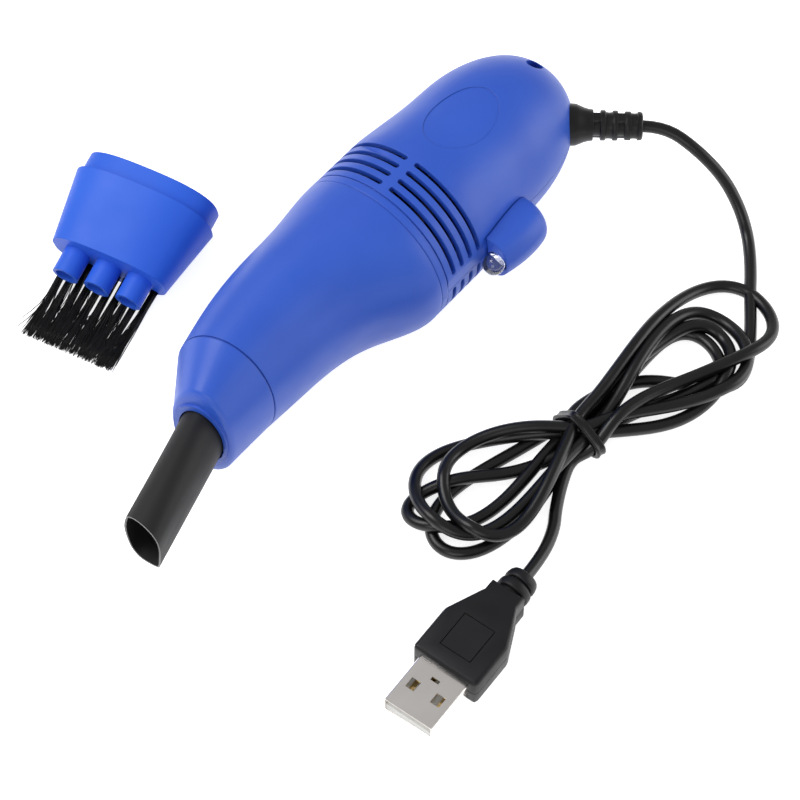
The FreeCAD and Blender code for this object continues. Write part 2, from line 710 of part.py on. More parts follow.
def resistor():
    x = boardFront + 2.3
    y = -boardReach - boardThickness - 1.1
    body = rod(V(x, y, 2.8), V(x, y, 6.0), 0.9)
    legs = [rod(V(x, y, 2.4), V(x, y, 2.85), 0.25), rod(V(x, y + 1.1, 2.6), V(x, y - 0.1, 2.6), 0.25)]
    return body.multiFuse(legs)


def motorWires():
    """Two insulated wires from the switch board to the motor's terminals."""
    wires = []
    back = motorFront + canLength + bellLength
    for side in (1, -1):
        points = [V(36.5, -boardReach - boardThickness - 0.05, side * 5.2), V(36.5, -boardReach - 2.8, side * 5.2),
                  V(41.5, -boardReach - 1.6, side * 5.8), V(back + 1.6, -7.6, side * 6.5),
                  V(back + 1.7, -1.1, side * 6.4)]
        wires.append(tube(points, 0.55))
    return Part.makeCompound(wires)


# ---- strain relief boot ----

def bootPart():
    origin, out = bootFrame()
    profile = [(-2.6, cordRadius), (-2.6, 4.0), (-1.5, 4.0), (-1.5, 2.6), (-1.2, 2.6), (-1.2, 4.75), (0.6, 4.6),
               (1.5, 4.15), (3.0, 3.65), (4.5, 3.5), (4.5, 2.3), (5.9, 2.3), (5.9, 3.4), (7.0, 3.4), (7.0, 3.1),
               (8.6, 3.1), (8.6, 3.4), (9.7, 3.4), (9.7, 2.3), (11.0, 2.3), (11.0, 3.3), (12.1, 3.3), (12.1, 3.0),
               (13.6, 3.0), (13.6, 3.25), (14.9, 3.25), (bootLength, 2.9), (bootLength, cordRadius)]
    boot = spin(profile)
    webs = [box(4.4, 11.1, -1.0, 1.0, -3.2, -cordRadius - 0.2), box(4.4, 11.1, -1.0, 1.0, cordRadius + 0.2, 3.2)]
    boot = boot.multiFuse(webs).removeSplitter()
    boot.Placement = FreeCAD.Placement(origin, FreeCAD.Rotation(V(1, 0, 0), out))
    trim = housingBody(-0.12, -1.0)
    outside = boot.cut(trim)
    inside = boot.common(housingBody(wall + 0.12, 0.0))
    neck = spin([(-2.0, cordRadius), (-2.0, 2.6), (2.6, 2.6), (2.6, cordRadius)])
    neck.Placement = boot.Placement
    return outside.multiFuse([inside, neck]).removeSplitter()


def innerLead():
    """Stretch of the cord between the boot's inner end and the switch board."""
    origin, out = bootFrame()
    start = origin - out * 2.6
    points = [start, start - out * 2.2, V(44.5, -boardReach - 1.0, -2.6), V(38.9, -boardReach - 2.6, -2.4)]
    return tube(points, 1.1)


# ---- free cord ----

def hankPoint(along, across, height):
    ahead = heading(hankHeading)
    side = heading(hankHeading + 90)
    flat = V(hankX, hankY, 0) + ahead * along + side * across
    return V(flat.x, flat.y, height)


def bootExit():
    origin, out = bootFrame()
    return toFloorPoint(origin + out * bootLength)


def toFloorPoint(point):
    return point + V(bodyX, bodyY, housingRadius)


def leadOut():
    start = bootExit()
    points = [start, V(79.8, -49.5, 20.3), V(80.9, -57.8, 17.2), V(82.5, -64.3, 11.6), V(82.1, -69.9, 6.0),
              V(80.0, -74.3, 2.2), V(76.3, -78.1, floorCord), V(71.4, -81.9, floorCord), V(68.4, -84.0, floorCord)]
    return tube(points, cordRadius, "cord_lead_out")


def leadPlug():
    end = plugPoint(reliefLength + 0.4, 0, plugHeight)
    points = [hankPoint(-11.0, -10.6, floorCord), V(-4.1, -85.5, floorCord), V(-8.0, -88.2, floorCord),
              V(-15.2, -90.7, 2.6), end]
    return tube(points, cordRadius, "cord_lead_plug")


def hank():
    """Outer shape of the tied figure-of-eight hank, as one block."""
    outline = [(0, 6.5), (7, 8.5), (14, 9.8), (20, 12.7), (26, 15.7), (32, 18.5), (38, 20.4), (44, 20.6),
               (49, 19.0), (52.3, 15.2), (53.7, 10.4), (53.1, 5.6), (49.6, 0.0), (43, -3.8), (36, -7.4),
               (29, -8.6), (21, -8.9), (13, -8.1), (6, -7.4), (0, -7.6), (-5, -7.2), (-9.2, -8.5), (-14, -11.4),
               (-20, -15.2), (-26, -17.4), (-32, -17.2), (-37, -15.7), (-40.6, -12.4), (-42.6, -8),
               (-43.6, -2), (-41.8, 3.4), (-37.5, 8.0), (-32, 10.8), (-26, 11.1), (-19, 9.4), (-12, 7.0), (-6, 5.8)]
    curve = Part.BSplineCurve()
    curve.interpolate([hankPoint(a, b, hankFloor) for a, b in outline], PeriodicFlag=True)
    block = Part.Face(Part.Wire(curve.toShape())).extrude(V(0, 0, hankHeight))
    bundle = tieBlock(hankWaist, hankFloor + tieThickness + tieGap, hankFloor + hankTied, 2 * tieWidth, 0.0)
    return block.cut(tieBlock(2 * hankWaist, -1.0, 2 * hankHeight, tieWidth + 2 * tieGap, 0.0).cut(bundle))


def tie():
    """Rubber ring round the waist of the hank."""
    halfWidth = hankWaist + tieGap
    top = hankFloor + hankTied + tieGap
    outer = tieBlock(halfWidth + tieThickness, hankFloor, top + tieThickness, tieWidth, 2.4)
    inner = tieBlock(halfWidth, hankFloor + tieThickness, top, tieWidth + 2, 2 * tieGap)
    return outer.cut(inner)


def tieBlock(halfWidth, low, high, width, corner):
    block = Part.makeBox(width, 2 * halfWidth, high - low, V(-width / 2, -halfWidth, low))
    if corner > 0:
        edges = [e for e in block.Edges if e.BoundBox.XLength > width / 2]
        block = block.makeFillet(min(corner, (high - low) / 2.2), edges)
    block.rotate(V(0, 0, 0), V(0, 0, 1), hankHeading + tieTurn)
    block.translate(hankPoint(tieAlong, tieAcross, 0))
    return block


# ---- USB plug ----

def plugPoint(back, side, height):
    """Point behind the shell joint by back, to the plug's left by side."""
    out = heading(plugHeading)
    left = heading(plugHeading + 90)
    flat = V(plugX, plugY, 0) - out * back + left * side
    return V(flat.x, flat.y, height)


def plugPlace(shape):
    """Shapes of the plug are drawn with +X towards the contacts and the joint at X = 0."""
    return place(shape, V(plugX, plugY, plugHeight), heading(plugHeading), heading(plugHeading + 90))


def plugShell():
    w = shellWidth / 2
    h = shellHeight / 2
    shell = box(-8.0, shellLength, -w, w, -h, h).cut(
        box(-9.0, shellLength + 1, -w + shellWall, w - shellWall, -h + shellWall, h - shellWall))
    cuts = [box(5.1, 7.6, side * 3.1 - 1.1, side * 3.1 + 1.1, -h - 1, h + 1) for side in (1, -1)]
    cuts.append(box(2.6, 3.4, -1.0, 1.0, 0, h + 1))
    return shell.cut(Part.makeCompound(cuts))


def plugTongue():
    return box(-8.0, shellLength - 0.25, -5.65, 5.65, -shellHeight / 2 + shellWall + 0.02, -0.15)


def plugContacts():
    pins = [box(-4.0, shellLength - 1.6, y - 0.5, y + 0.5, -0.14, 0.06) for y in (-3.5, -1.0, 1.0, 3.5)]
    return Part.makeCompound(pins)


def plugOvermould():
    w = overmouldHalfWidth
    plan = [V(0, -w, 0), V(0, w, 0), V(-10.9, w, 0), V(-19.5, 4.3, 0), V(-22.5, 4.0, 0),
            V(-22.5, -4.0, 0), V(-19.5, -4.3, 0), V(-10.9, -w, 0)]
    block = Part.Face(Part.makePolygon(plan + plan[:1])).extrude(V(0, 0, 8.2))
    block.translate(V(0, 0, -4.1))
    corners = [e for e in block.Edges if e.BoundBox.ZLength > 8 and e.BoundBox.XMin > -14 and e.BoundBox.XMax < -1]
    block = block.makeFillet(3.0, corners)
    rims = [e for e in block.Edges if e.BoundBox.ZLength < 0.01 and e.BoundBox.XMin > -22.4
            and e.BoundBox.XMax < -0.01 or (e.BoundBox.ZLength < 0.01 and e.BoundBox.XLength > 3)]
    block = block.makeFillet(1.0, rims)
    panel = box(-12.6, -3.6, -3.4, 3.4, 4.1 - 0.3, 5)
    relief = spin([(-20.0, 0.01), (-20.0, 3.85), (-22.7, 3.85), (-22.7, 3.0), (-23.3, 3.0), (-23.3, 3.8),
                   (-25.6, 3.75), (-25.6, 2.9), (-26.1, 2.9), (-26.1, 3.6), (-28.0, 3.4), (-reliefLength, 2.8),
                   (-reliefLength, 0.01)])
    solid = block.cut(panel).fuse(relief)
    pocket = box(-8.05, 1, -shellWidth / 2, shellWidth / 2, -shellHeight / 2, shellHeight / 2)
    return solid.cut(pocket).removeSplitter()


# ---- brush head ----

def brushTilt():
    return math.degrees(math.atan2(rimHalfDepth - footHalfDepth, brushHeight))


def brushPlace(shape):
    """The brush is drawn standing, bristles towards -Z, long side along X, rim plane at Z = 0."""
    tilt = math.radians(brushTilt())
    backward = V(0, 0, math.sin(tilt)) - heading(brushHeading) * math.cos(tilt)
    along = heading(brushHeading - 90)
    return place(shape, V(brushX, brushY, rimHalfDepth * math.cos(tilt)), along, backward.cross(along))


def brushBody():
    outer = Part.makeLoft([flatOval(V(0, 0, 0), rimHalfLength, rimHalfDepth),
                           flatOval(V(0, 0, -brushHeight), footHalfLength, footHalfDepth)], True, True)
    collarLength = rimHalfLength - collarInsetLength
    collarDepth = rimHalfDepth - collarInsetDepth
    collar = Part.Face(flatOval(V(0, 0, -1), collarLength, collarDepth)).extrude(V(0, 0, collarHeight + 1))
    solid = outer.fuse(collar)
    inside = Part.makeLoft([flatOval(V(0, 0, 0), collarLength - brushWall, collarDepth - brushWall),
                            flatOval(V(0, 0, -brushHeight + 2.4), footHalfLength - brushWall,
                                     footHalfDepth - brushWall)], True, True)
    throat = Part.Face(flatOval(V(0, 0, 0), collarLength - brushWall,
                                collarDepth - brushWall)).extrude(V(0, 0, collarHeight + 1))
    posts = []
    bores = []
    for k in (-1, 0, 1):
        top = V(k * postPitch, postShift, -brushHeight + 0.5)
        end = V(k * postPitch, postShift, -brushHeight - postLength)
        posts.append(rod(top, end, postRadius))
        bores.append(rod(top + V(0, 0, 3), end - V(0, 0, 1), postBore))
    holes = [rod(foot + V(0, 0, tuftRoot), foot - V(0, 0, 1), tuftRadius + 0.05) for foot in tuftFeet()]
    solid = solid.multiFuse(posts)
    solid = solid.cut(inside).cut(throat)
    return solid.cut(Part.makeCompound(bores)).cut(Part.makeCompound(holes)).removeSplitter()


def tuftFeet():
    span = tuftPitch * (tuftCount - 1)
    return [V(-span / 2 + tuftPitch * k, tuftShift, -brushHeight) for k in range(tuftCount)]


def ring(point, direction, radius):
    across = unit(V(0, 1, 0).cross(direction))
    return Part.Wire(place(Part.makeCircle(radius), point, across, direction.cross(across)))


def tuft(foot, spread):
    """Tapered rod: straight in its hole, leaning at the posts, lying on the floor beyond the knee."""
    first = unit(V(spread / 4, tuftLeanRoot, -1))
    second = unit(V(spread, tuftLeanTip, -1))
    down = V(0, 0, -1)
    knee = foot + first * tuftKnee
    tip = knee + second * (tuftLength - tuftKnee)
    rings = [ring(foot - down * tuftRoot, down, tuftRadius), ring(foot + down * 0.4, down, tuftRadius),
             ring(knee, unit(first + second), tuftRadius), ring(tip, second, tuftTipRadius)]
    return Part.makeLoft(rings, True, True)


def brushTufts():
    middle = (tuftCount - 1) / 2
    return Part.makeCompound([tuft(foot, (k - middle) * tuftSpread) for k, foot in enumerate(tuftFeet())])


# ---- everything, one file for each piece ----

def buildAll():
    upper, lower = housingShells()
    screw = rod(V(screwStation, 0, 5.05), V(screwStation, 0, 6.5), 1.8).fuse(
        rod(V(screwStation, 0, -8.5), V(screwStation, 0, 5.1), screwRadius - 0.05))
    machine = {
        "upper_housing_shell": upper,
        "lower_housing_shell": lower,
        "housing_screw": screw,
        "dust_cup": dustCup(),
        "nose_cap": noseCap(),
        "nozzle_tube": nozzleTube(),
        "filter_frame": filterFrame(),
        "filter_cloth": filterCloth(),
        "fan_inlet_plate": inletPlate(),
        "motor_plate": motorPlate(),
        "motor_screws": motorScrews(),
        "motor_can": motorCan(),
        "motor_end_bell": motorBell(),
        "motor_terminals": motorTerminals(),
        "motor_shaft": motorShaft(),
        "impeller": impeller(),
        "thumb_slide": thumbSlide(),
        "switch_lever": switchLever(),
        "switch_body": switchBody(),
        "switch_board": switchBoard(),
        "led_lamp": ledLamp(),
        "led_holder": ledHolder(),
        "led_leads": ledLeads(),
        "lamp_resistor": resistor(),
        "motor_wires": motorWires(),
        "inner_lead": innerLead(),
        "cord_boot": bootPart(),
    }
    pieces = {name: toFloor(shape) for name, shape in machine.items()}
    pieces["cord_lead_out"] = leadOut()
    pieces["cord_hank"] = hank()
    pieces["cord_tie"] = tie()
    pieces["cord_lead_plug"] = leadPlug()
    pieces["plug_overmould"] = plugPlace(plugOvermould())
    pieces["plug_shell"] = plugPlace(plugShell())
    pieces["plug_tongue"] = plugPlace(plugTongue())
    pieces["plug_contacts"] = plugPlace(plugContacts())
    pieces["brush_body"] = brushPlace(brushBody())
    pieces["brush_tufts"] = brushPlace(brushTufts())
    return pieces


for pieceName, pieceShape in buildAll().items():
    if not pieceShape.isValid():
        print("not valid:", pieceName)
    pieceShape.exportStep("parts/" + pieceName + ".step")
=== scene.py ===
import bpy
import math
import random
from mathutils import Matrix, Vector


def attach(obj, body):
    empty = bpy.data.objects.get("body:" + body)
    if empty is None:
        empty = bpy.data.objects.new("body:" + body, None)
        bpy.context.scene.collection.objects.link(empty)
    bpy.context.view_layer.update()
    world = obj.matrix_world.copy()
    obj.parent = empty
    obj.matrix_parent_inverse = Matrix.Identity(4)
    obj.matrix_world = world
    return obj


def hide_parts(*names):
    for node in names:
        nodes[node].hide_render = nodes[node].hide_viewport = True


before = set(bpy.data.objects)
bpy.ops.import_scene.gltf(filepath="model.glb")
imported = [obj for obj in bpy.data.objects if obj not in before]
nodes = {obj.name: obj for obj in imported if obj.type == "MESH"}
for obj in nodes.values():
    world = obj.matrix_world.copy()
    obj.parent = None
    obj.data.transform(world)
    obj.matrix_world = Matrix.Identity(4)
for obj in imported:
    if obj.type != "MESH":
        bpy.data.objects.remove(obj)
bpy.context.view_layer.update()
mm = 0.001


# small helpers

def heading(degrees):
    # level direction, turned this far from the X axis
    return Vector((math.cos(math.radians(degrees)), math.sin(math.radians(degrees)), 0))


def axes(origin, xAxis, yAxis):
    # matrix of a piece's own axes, set at origin (mm) in the part's frame
    zAxis = xAxis.cross(yAxis)
    turn = Matrix((xAxis, yAxis, zAxis)).transposed().to_4x4()
    return Matrix.Translation(Vector(origin) * mm) @ turn @ Matrix.Scale(mm, 4)


def addMesh(name, points, faces, material, place=None, smooth=True):
    mesh = bpy.data.meshes.new(name)
    mesh.from_pydata([tuple(p) for p in points], [], faces)
    if place:
        mesh.transform(place)
    mesh.update()
    piece = bpy.data.objects.new(name, mesh)
    bpy.context.scene.collection.objects.link(piece)
    mesh.materials.append(material)
    if smooth:
        mesh.shade_smooth()
    return piece


def loft(rings, loop=False):
    # skin between rings of equal length, closed at both ends; loop joins the last ring to the first
    count = len(rings[0])
    points = [p for ring in rings for p in ring]
    faces = []
    for r in range(len(rings) if loop else len(rings) - 1):
        a, b = r * count, (r + 1) % len(rings) * count
        for k in range(count):
            n = (k + 1) % count
            faces.append((a + k, a + n, b + n, b + k))
    if not loop:
        faces.append(tuple(reversed(range(count))))
        faces.append(tuple(range(len(points) - count, len(points))))
    return points, faces


def lathe(profile, segments=48, hollow=False):
    # profile of (station, radius) turned about the X axis; a hollow one is a closed outline
    rings = []
    for x, r in profile:
        turns = [2 * math.pi * k / segments for k in range(segments)]
        rings.append([Vector((x, r * math.cos(t), r * math.sin(t))) for t in turns])
    return loft(rings, loop=hollow)


def roundedBox(x, halfWidth, halfHeight, radius, steps=5):
    # ring across the X axis: a rectangle with round corners
    ring = []
    for cy, cz, start in ((1, 1, 0), (-1, 1, 90), (-1, -1, 180), (1, -1, 270)):
        for k in range(steps + 1):
            a = math.radians(start + 90 * k / steps)
            ring.append(Vector((x, cy * (halfWidth - radius) + radius * math.cos(a),
                                cz * (halfHeight - radius) + radius * math.sin(a))))
    return ring


def applyModifiers(piece):
    bpy.context.view_layer.update()
    shaped = bpy.data.meshes.new_from_object(piece.evaluated_get(bpy.context.evaluated_depsgraph_get()))
    old = piece.data
    piece.modifiers.clear()
    piece.data = shaped
    bpy.data.meshes.remove(old)


def cutAway(piece, tool):
    step = piece.modifiers.new("cut", "BOOLEAN")
    step.operation = "DIFFERENCE"
    step.solver = "EXACT"
    step.object = tool
    applyModifiers(piece)
    bpy.data.objects.remove(tool)


def sharpen(piece, degrees=40):
    # keeps the edges steeper than this crisp
    piece.data.set_sharp_from_angle(angle=math.radians(degrees))


def finishPiece(piece, body, slotName, *replaced):
    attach(piece, body)
    if replaced:
        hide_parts(*replaced)
    return piece


# materials

def newMaterial(name):
    material = bpy.data.materials.new(name)
    material.use_nodes = True
    tree = material.node_tree
    return material, tree, tree.nodes["Principled BSDF"]


def noiseAt(tree, scale, detail=3, stretch=(1, 1, 1)):
    position = tree.nodes.new("ShaderNodeTexCoord")
    mapping = tree.nodes.new("ShaderNodeMapping")
    mapping.inputs["Scale"].default_value = stretch
    noise = tree.nodes.new("ShaderNodeTexNoise")
    noise.inputs["Scale"].default_value = scale
    noise.inputs["Detail"].default_value = detail
    tree.links.new(position.outputs["Object"], mapping.inputs["Vector"])
    tree.links.new(mapping.outputs["Vector"], noise.inputs["Vector"])
    return noise.outputs["Fac"]


# stretches of the noise that make a difference, and how fine each use of it is
noiseSizes = {"spread": (0.3, 0.7), "patch": (0.35, 0.65), "mottle": 4, "gloss": 3, "grain": 2}


def spread(tree, value, low, high):
    # turns noise into an even range of values
    span = tree.nodes.new("ShaderNodeMapRange")
    span.inputs["From Min"].default_value, span.inputs["From Max"].default_value = noiseSizes["spread"]
    span.inputs["To Min"].default_value = low
    span.inputs["To Max"].default_value = high
    tree.links.new(value, span.inputs["Value"])
    return span.outputs["Result"]


def blendColors(tree, value, first, second):
    # turns noise into patches of two close colours
    ramp = tree.nodes.new("ShaderNodeValToRGB")
    for stop, place, color in zip(ramp.color_ramp.elements, noiseSizes["patch"], (first, second)):
        stop.position = place
        stop.color = (*color, 1)
    tree.links.new(value, ramp.inputs["Fac"])
    return ramp.outputs["Color"]


# what a look has where it says nothing else; sizes of edge and grain in mm
plainLook = {
    "mottleScale": 60, "glossScale": 130, "grainScale": 2600, "grain": 0.1, "grainDepth": 0.02,
    "stretch": (1, 1, 1), "edge": 0, "metallic": 0.0, "specular": 0.5}


def surfaceMaterial(name, look):
    # moulded or drawn surface: mottled colour, uneven gloss, fine grain and softened edges
    look = {**plainLook, **look}
    material, tree, shader = newMaterial(name)
    links, stretch = tree.links, look["stretch"]
    mottle = noiseAt(tree, look["mottleScale"], noiseSizes["mottle"], stretch)
    links.new(blendColors(tree, mottle, look["dark"], look["light"]), shader.inputs["Base Color"])
    low, high = look["roughness"]
    gloss = noiseAt(tree, look["glossScale"], noiseSizes["gloss"], stretch)
    links.new(spread(tree, gloss, low, high), shader.inputs["Roughness"])
    grain = noiseAt(tree, look["grainScale"], noiseSizes["grain"], stretch)
    bump = tree.nodes.new("ShaderNodeBump")
    bump.inputs["Strength"].default_value = look["grain"]
    bump.inputs["Distance"].default_value = look["grainDepth"] * mm
    links.new(grain, bump.inputs["Height"])
    if look["edge"]:
        soften = tree.nodes.new("ShaderNodeBevel")
        soften.samples = 4
        soften.inputs["Radius"].default_value = look["edge"] * mm
        links.new(soften.outputs["Normal"], bump.inputs["Normal"])
    links.new(bump.outputs["Normal"], shader.inputs["Normal"])
    shader.inputs["Metallic"].default_value = look["metallic"]
    shader.inputs["Specular IOR Level"].default_value = look["specular"]
    return material


looks = {
    "bluePlastic": {"dark": (0.022, 0.092, 0.552), "light": (0.026, 0.104, 0.585), "roughness": (0.4, 0.49),
                    "grain": 0.12, "edge": 0.38, "mottleScale": 45},
    # the body's blue made lighter and more saturated for the brush: painted light standing in for its
    # upturned face lit by the key lamp
    "brushBluePaintedLighter": {"dark": (0.029, 0.122, 0.69), "light": (0.033, 0.135, 0.73), "roughness": (0.4, 0.5),
                     "grain": 0.12, "edge": 0.22, "mottleScale": 45, "specular": 0.22},
    # lighter grey for the nozzle tube's cut rim: a painted highlight where light catches the rim's edge
    "paintedRimHighlight": {"dark": (0.09, 0.09, 0.09), "light": (0.16, 0.16, 0.16), "roughness": (0.4, 0.5)},
    "blackTube": {"dark": (0.008, 0.008, 0.009), "light": (0.013, 0.013, 0.014), "roughness": (0.52, 0.66),
                  "specular": 0.3, "grain": 0.35, "grainScale": 900, "stretch": (0.25, 1, 1), "edge": 0.12},
    "blackRubber": {"dark": (0.002, 0.002, 0.0024), "light": (0.004, 0.004, 0.0045),
                    "roughness": (0.28, 0.38), "specular": 0.42, "grain": 0.2, "grainScale": 1800},
    "bootRubber": {"dark": (0.003, 0.003, 0.003), "light": (0.005, 0.005, 0.005), "roughness": (0.36, 0.5),
                   "specular": 0.34, "grain": 0.25, "grainScale": 1600, "edge": 0.08},
    "plugRubber": {"dark": (0.004, 0.004, 0.005), "light": (0.006, 0.006, 0.008), "roughness": (0.42, 0.55),
                   "specular": 0.32, "grain": 0.3, "grainScale": 1500, "edge": 0.1},
    "bristle": {"dark": (0.002, 0.002, 0.002), "light": (0.005, 0.005, 0.005), "roughness": (0.35, 0.5),
                "grain": 0.05, "mottleScale": 400, "specular": 0.25},
    "whitePlastic": {"dark": (0.74, 0.74, 0.71), "light": (0.80, 0.80, 0.78), "roughness": (0.4, 0.5),
                     "edge": 0.15},
    "blackPlastic": {"dark": (0.014, 0.014, 0.014), "light": (0.022, 0.022, 0.022), "roughness": (0.45, 0.6)},
    "filterCloth": {"dark": (0.62, 0.62, 0.6), "light": (0.78, 0.78, 0.75), "roughness": (0.85, 0.95),
                    "grain": 0.8, "grainScale": 1400, "grainDepth": 0.1, "mottleScale": 500},
    "plugMetal": {"dark": (0.88, 0.84, 0.81), "light": (0.94, 0.90, 0.87), "roughness": (0.2, 0.28),
                  "metallic": 1.0, "grain": 0.08, "grainScale": 1500, "stretch": (0.1, 1, 1)},
    "canSteel": {"dark": (0.50, 0.50, 0.51), "light": (0.6, 0.6, 0.61), "roughness": (0.28, 0.38),
                 "metallic": 1.0, "stretch": (0.2, 1, 1), "edge": 0.15},
    "screwSteel": {"dark": (0.42, 0.42, 0.43), "light": (0.58, 0.58, 0.59), "roughness": (0.25, 0.35),
                   "metallic": 1.0, "edge": 0.1},
    "brassContact": {"dark": (0.72, 0.5, 0.2), "light": (0.8, 0.6, 0.28), "roughness": (0.2, 0.3),
                     "metallic": 1.0},
    "boardGreen": {"dark": (0.02, 0.13, 0.05), "light": (0.03, 0.18, 0.07), "roughness": (0.3, 0.4),
                   "mottleScale": 300},
    "resistorBody": {"dark": (0.5, 0.38, 0.22), "light": (0.6, 0.48, 0.3), "roughness": (0.4, 0.5)},
    "wireRed": {"dark": (0.42, 0.012, 0.012), "light": (0.52, 0.02, 0.02), "roughness": (0.3, 0.4)}}
finishes = {name: surfaceMaterial(name, look) for name, look in looks.items()}


lampLook = {
    "color": (0.72, 0.80, 1.0), "transmission": 0.95, "bend": 1.5, "coat": 0.6, "coatRoughness": 0.05,
    "rippleScale": 500, "roughness": (0.02, 0.05)}


def lampMaterial():
    material, tree, shader = newMaterial("clearLamp")
    shader.inputs["Base Color"].default_value = (*lampLook["color"], 1)
    shader.inputs["Transmission Weight"].default_value = lampLook["transmission"]
    shader.inputs["IOR"].default_value = lampLook["bend"]
    shader.inputs["Coat Weight"].default_value = lampLook["coat"]
    shader.inputs["Coat Roughness"].default_value = lampLook["coatRoughness"]
    low, high = lampLook["roughness"]
    ripple = noiseAt(tree, lampLook["rippleScale"])
    tree.links.new(spread(tree, ripple, low, high), shader.inputs["Roughness"])
    return material


finishes["clearLamp"] = lampMaterial()

nodeFinish = {
    "bluePlastic": ["upper_housing_shell", "lower_housing_shell", "dust_cup", "nose_cap", "thumb_slide",
                    "led_holder"],
    "brushBluePaintedLighter": ["brush_body"],
    "blackTube": ["nozzle_tube"],
    "whitePlastic": ["plug_tongue"],
    "blackPlastic": ["switch_lever", "filter_frame", "fan_inlet_plate", "motor_plate", "motor_end_bell",
                     "impeller"],
    "filterCloth": ["filter_cloth"],
    "canSteel": ["motor_can", "motor_shaft", "switch_body"],
    "screwSteel": ["housing_screw", "motor_screws", "led_leads"],
    "brassContact": ["motor_terminals", "plug_contacts"],
    "boardGreen": ["switch_board"],
    "resistorBody": ["lamp_resistor"],
    "wireRed": ["motor_wires"],
    "blackRubber": ["inner_lead", "cord_boot", "cord_lead_out", "cord_hank", "cord_tie", "cord_lead_plug"],
    "plugRubber": ["plug_overmould"],
    "plugMetal": ["plug_shell"],
    "clearLamp": ["led_lamp"],
    "bristle": ["brush_tufts"]}
for finishName, members in nodeFinish.items():
    for nodeName in members:
        mesh = nodes[nodeName].data
        mesh.materials.clear()
        mesh.materials.append(finishes[finishName])
print("materials done")


# camera, floor and light

studio = {
    "target": (-3.0, -41.9, 0.0), "distance": 700.0, "azimuth": -50.3, "elevation": 57.0, "lens": 145.5,
    "clipStart": 0.01, "worldStrength": 0.44, "worldSeen": 1.0,
    "keyStrength": 5.0, "keySize": 0.55, "keyPlace": (-0.25, 0.45, 0.75),
    "fillStrength": 1.5, "fillSize": 0.5, "fillPlace": (-0.7, -0.35, 0.5),
    "sideStrength": 4.2, "sideSize": 0.7, "sidePlace": (0.75, -0.72, 0.24),
    # floor: half its side in metres, its grey, and how bright it is to the camera and in reflections
    "floorHalf": 3.0, "floorColor": 0.8, "floorGlow": 0.8, "floorSheen": 1.0}


def lookPath(tree):
    # light path, and a value of 1 for what is seen straight on or through the clear lamp
    path = tree.nodes.new("ShaderNodeLightPath")
    direct = tree.nodes.new("ShaderNodeMath")
    tree.links.new(path.outputs["Is Camera Ray"], direct.inputs[0])
    tree.links.new(path.outputs["Is Transmission Ray"], direct.inputs[1])
    return path, direct.outputs["Value"]


def addCamera():
    a, e = math.radians(studio["azimuth"]), math.radians(studio["elevation"])
    away = Vector((math.sin(a) * math.cos(e), -math.cos(a) * math.cos(e), math.sin(e)))
    camera = bpy.data.objects.new("camera", bpy.data.cameras.new("camera"))
    bpy.context.scene.collection.objects.link(camera)
    camera.location = (Vector(studio["target"]) + away * studio["distance"]) * mm
    camera.rotation_euler = (-away).to_track_quat("-Z", "Y").to_euler()
    camera.data.lens = studio["lens"]
    camera.data.clip_start = studio["clipStart"]
    bpy.context.scene.camera = camera


def addFloor():
    half = studio["floorHalf"]
    material, tree, shader = newMaterial("paleFloor")
    tree.nodes.remove(shader)
    white = studio["floorColor"]
    diffuse = tree.nodes.new("ShaderNodeBsdfDiffuse")
    diffuse.inputs["Color"].default_value = (white, white, white, 1)
    glow = tree.nodes.new("ShaderNodeEmission")
    path, direct = lookPath(tree)
    seen, mirrored = tree.nodes.new("ShaderNodeMath"), tree.nodes.new("ShaderNodeMath")
    seen.operation = "MULTIPLY"
    seen.inputs[1].default_value = studio["floorGlow"]
    mirrored.operation = "MULTIPLY_ADD"
    mirrored.inputs[1].default_value = studio["floorSheen"]
    both = tree.nodes.new("ShaderNodeAddShader")
    tree.links.new(direct, seen.inputs[0])
    tree.links.new(path.outputs["Is Glossy Ray"], mirrored.inputs[0])
    tree.links.new(seen.outputs["Value"], mirrored.inputs[2])
    tree.links.new(mirrored.outputs["Value"], glow.inputs["Strength"])
    tree.links.new(diffuse.outputs["BSDF"], both.inputs[0])
    tree.links.new(glow.outputs["Emission"], both.inputs[1])
    tree.links.new(both.outputs["Shader"], tree.nodes["Material Output"].inputs["Surface"])
    floor = addMesh("floor", [(-half, -half, 0), (half, -half, 0), (half, half, 0), (-half, half, 0)],
                    [(0, 1, 2, 3)], material, smooth=False)


def addLights():
    world = bpy.data.worlds.new("studioWorld")
    world.use_nodes = True
    bpy.context.scene.world = world
    tree = world.node_tree
    background = tree.nodes["Background"]
    background.inputs["Color"].default_value = (1, 1, 1, 1)
    level = tree.nodes.new("ShaderNodeMapRange")
    level.inputs["To Min"].default_value = studio["worldStrength"]
    level.inputs["To Max"].default_value = studio["worldSeen"]
    tree.links.new(lookPath(tree)[1], level.inputs["Value"])
    tree.links.new(level.outputs["Result"], background.inputs["Strength"])
    for name in ("key", "fill", "side"):
        lamp = bpy.data.lights.new(name, "AREA")
        lamp.energy = studio[name + "Strength"]
        lamp.size = studio[name + "Size"]
        holder = bpy.data.objects.new(name, lamp)
        bpy.context.scene.collection.objects.link(holder)
        holder.location = studio[name + "Place"]
        holder.rotation_euler = (-Vector(studio[name + "Place"])).to_track_quat("-Z", "Y").to_euler()


addCamera()
addFloor()
addLights()
bpy.context.scene.view_settings.view_transform = "Standard"
print("studio done")


# the lead: boot to hank, four turns of a figure of eight, hank to plug

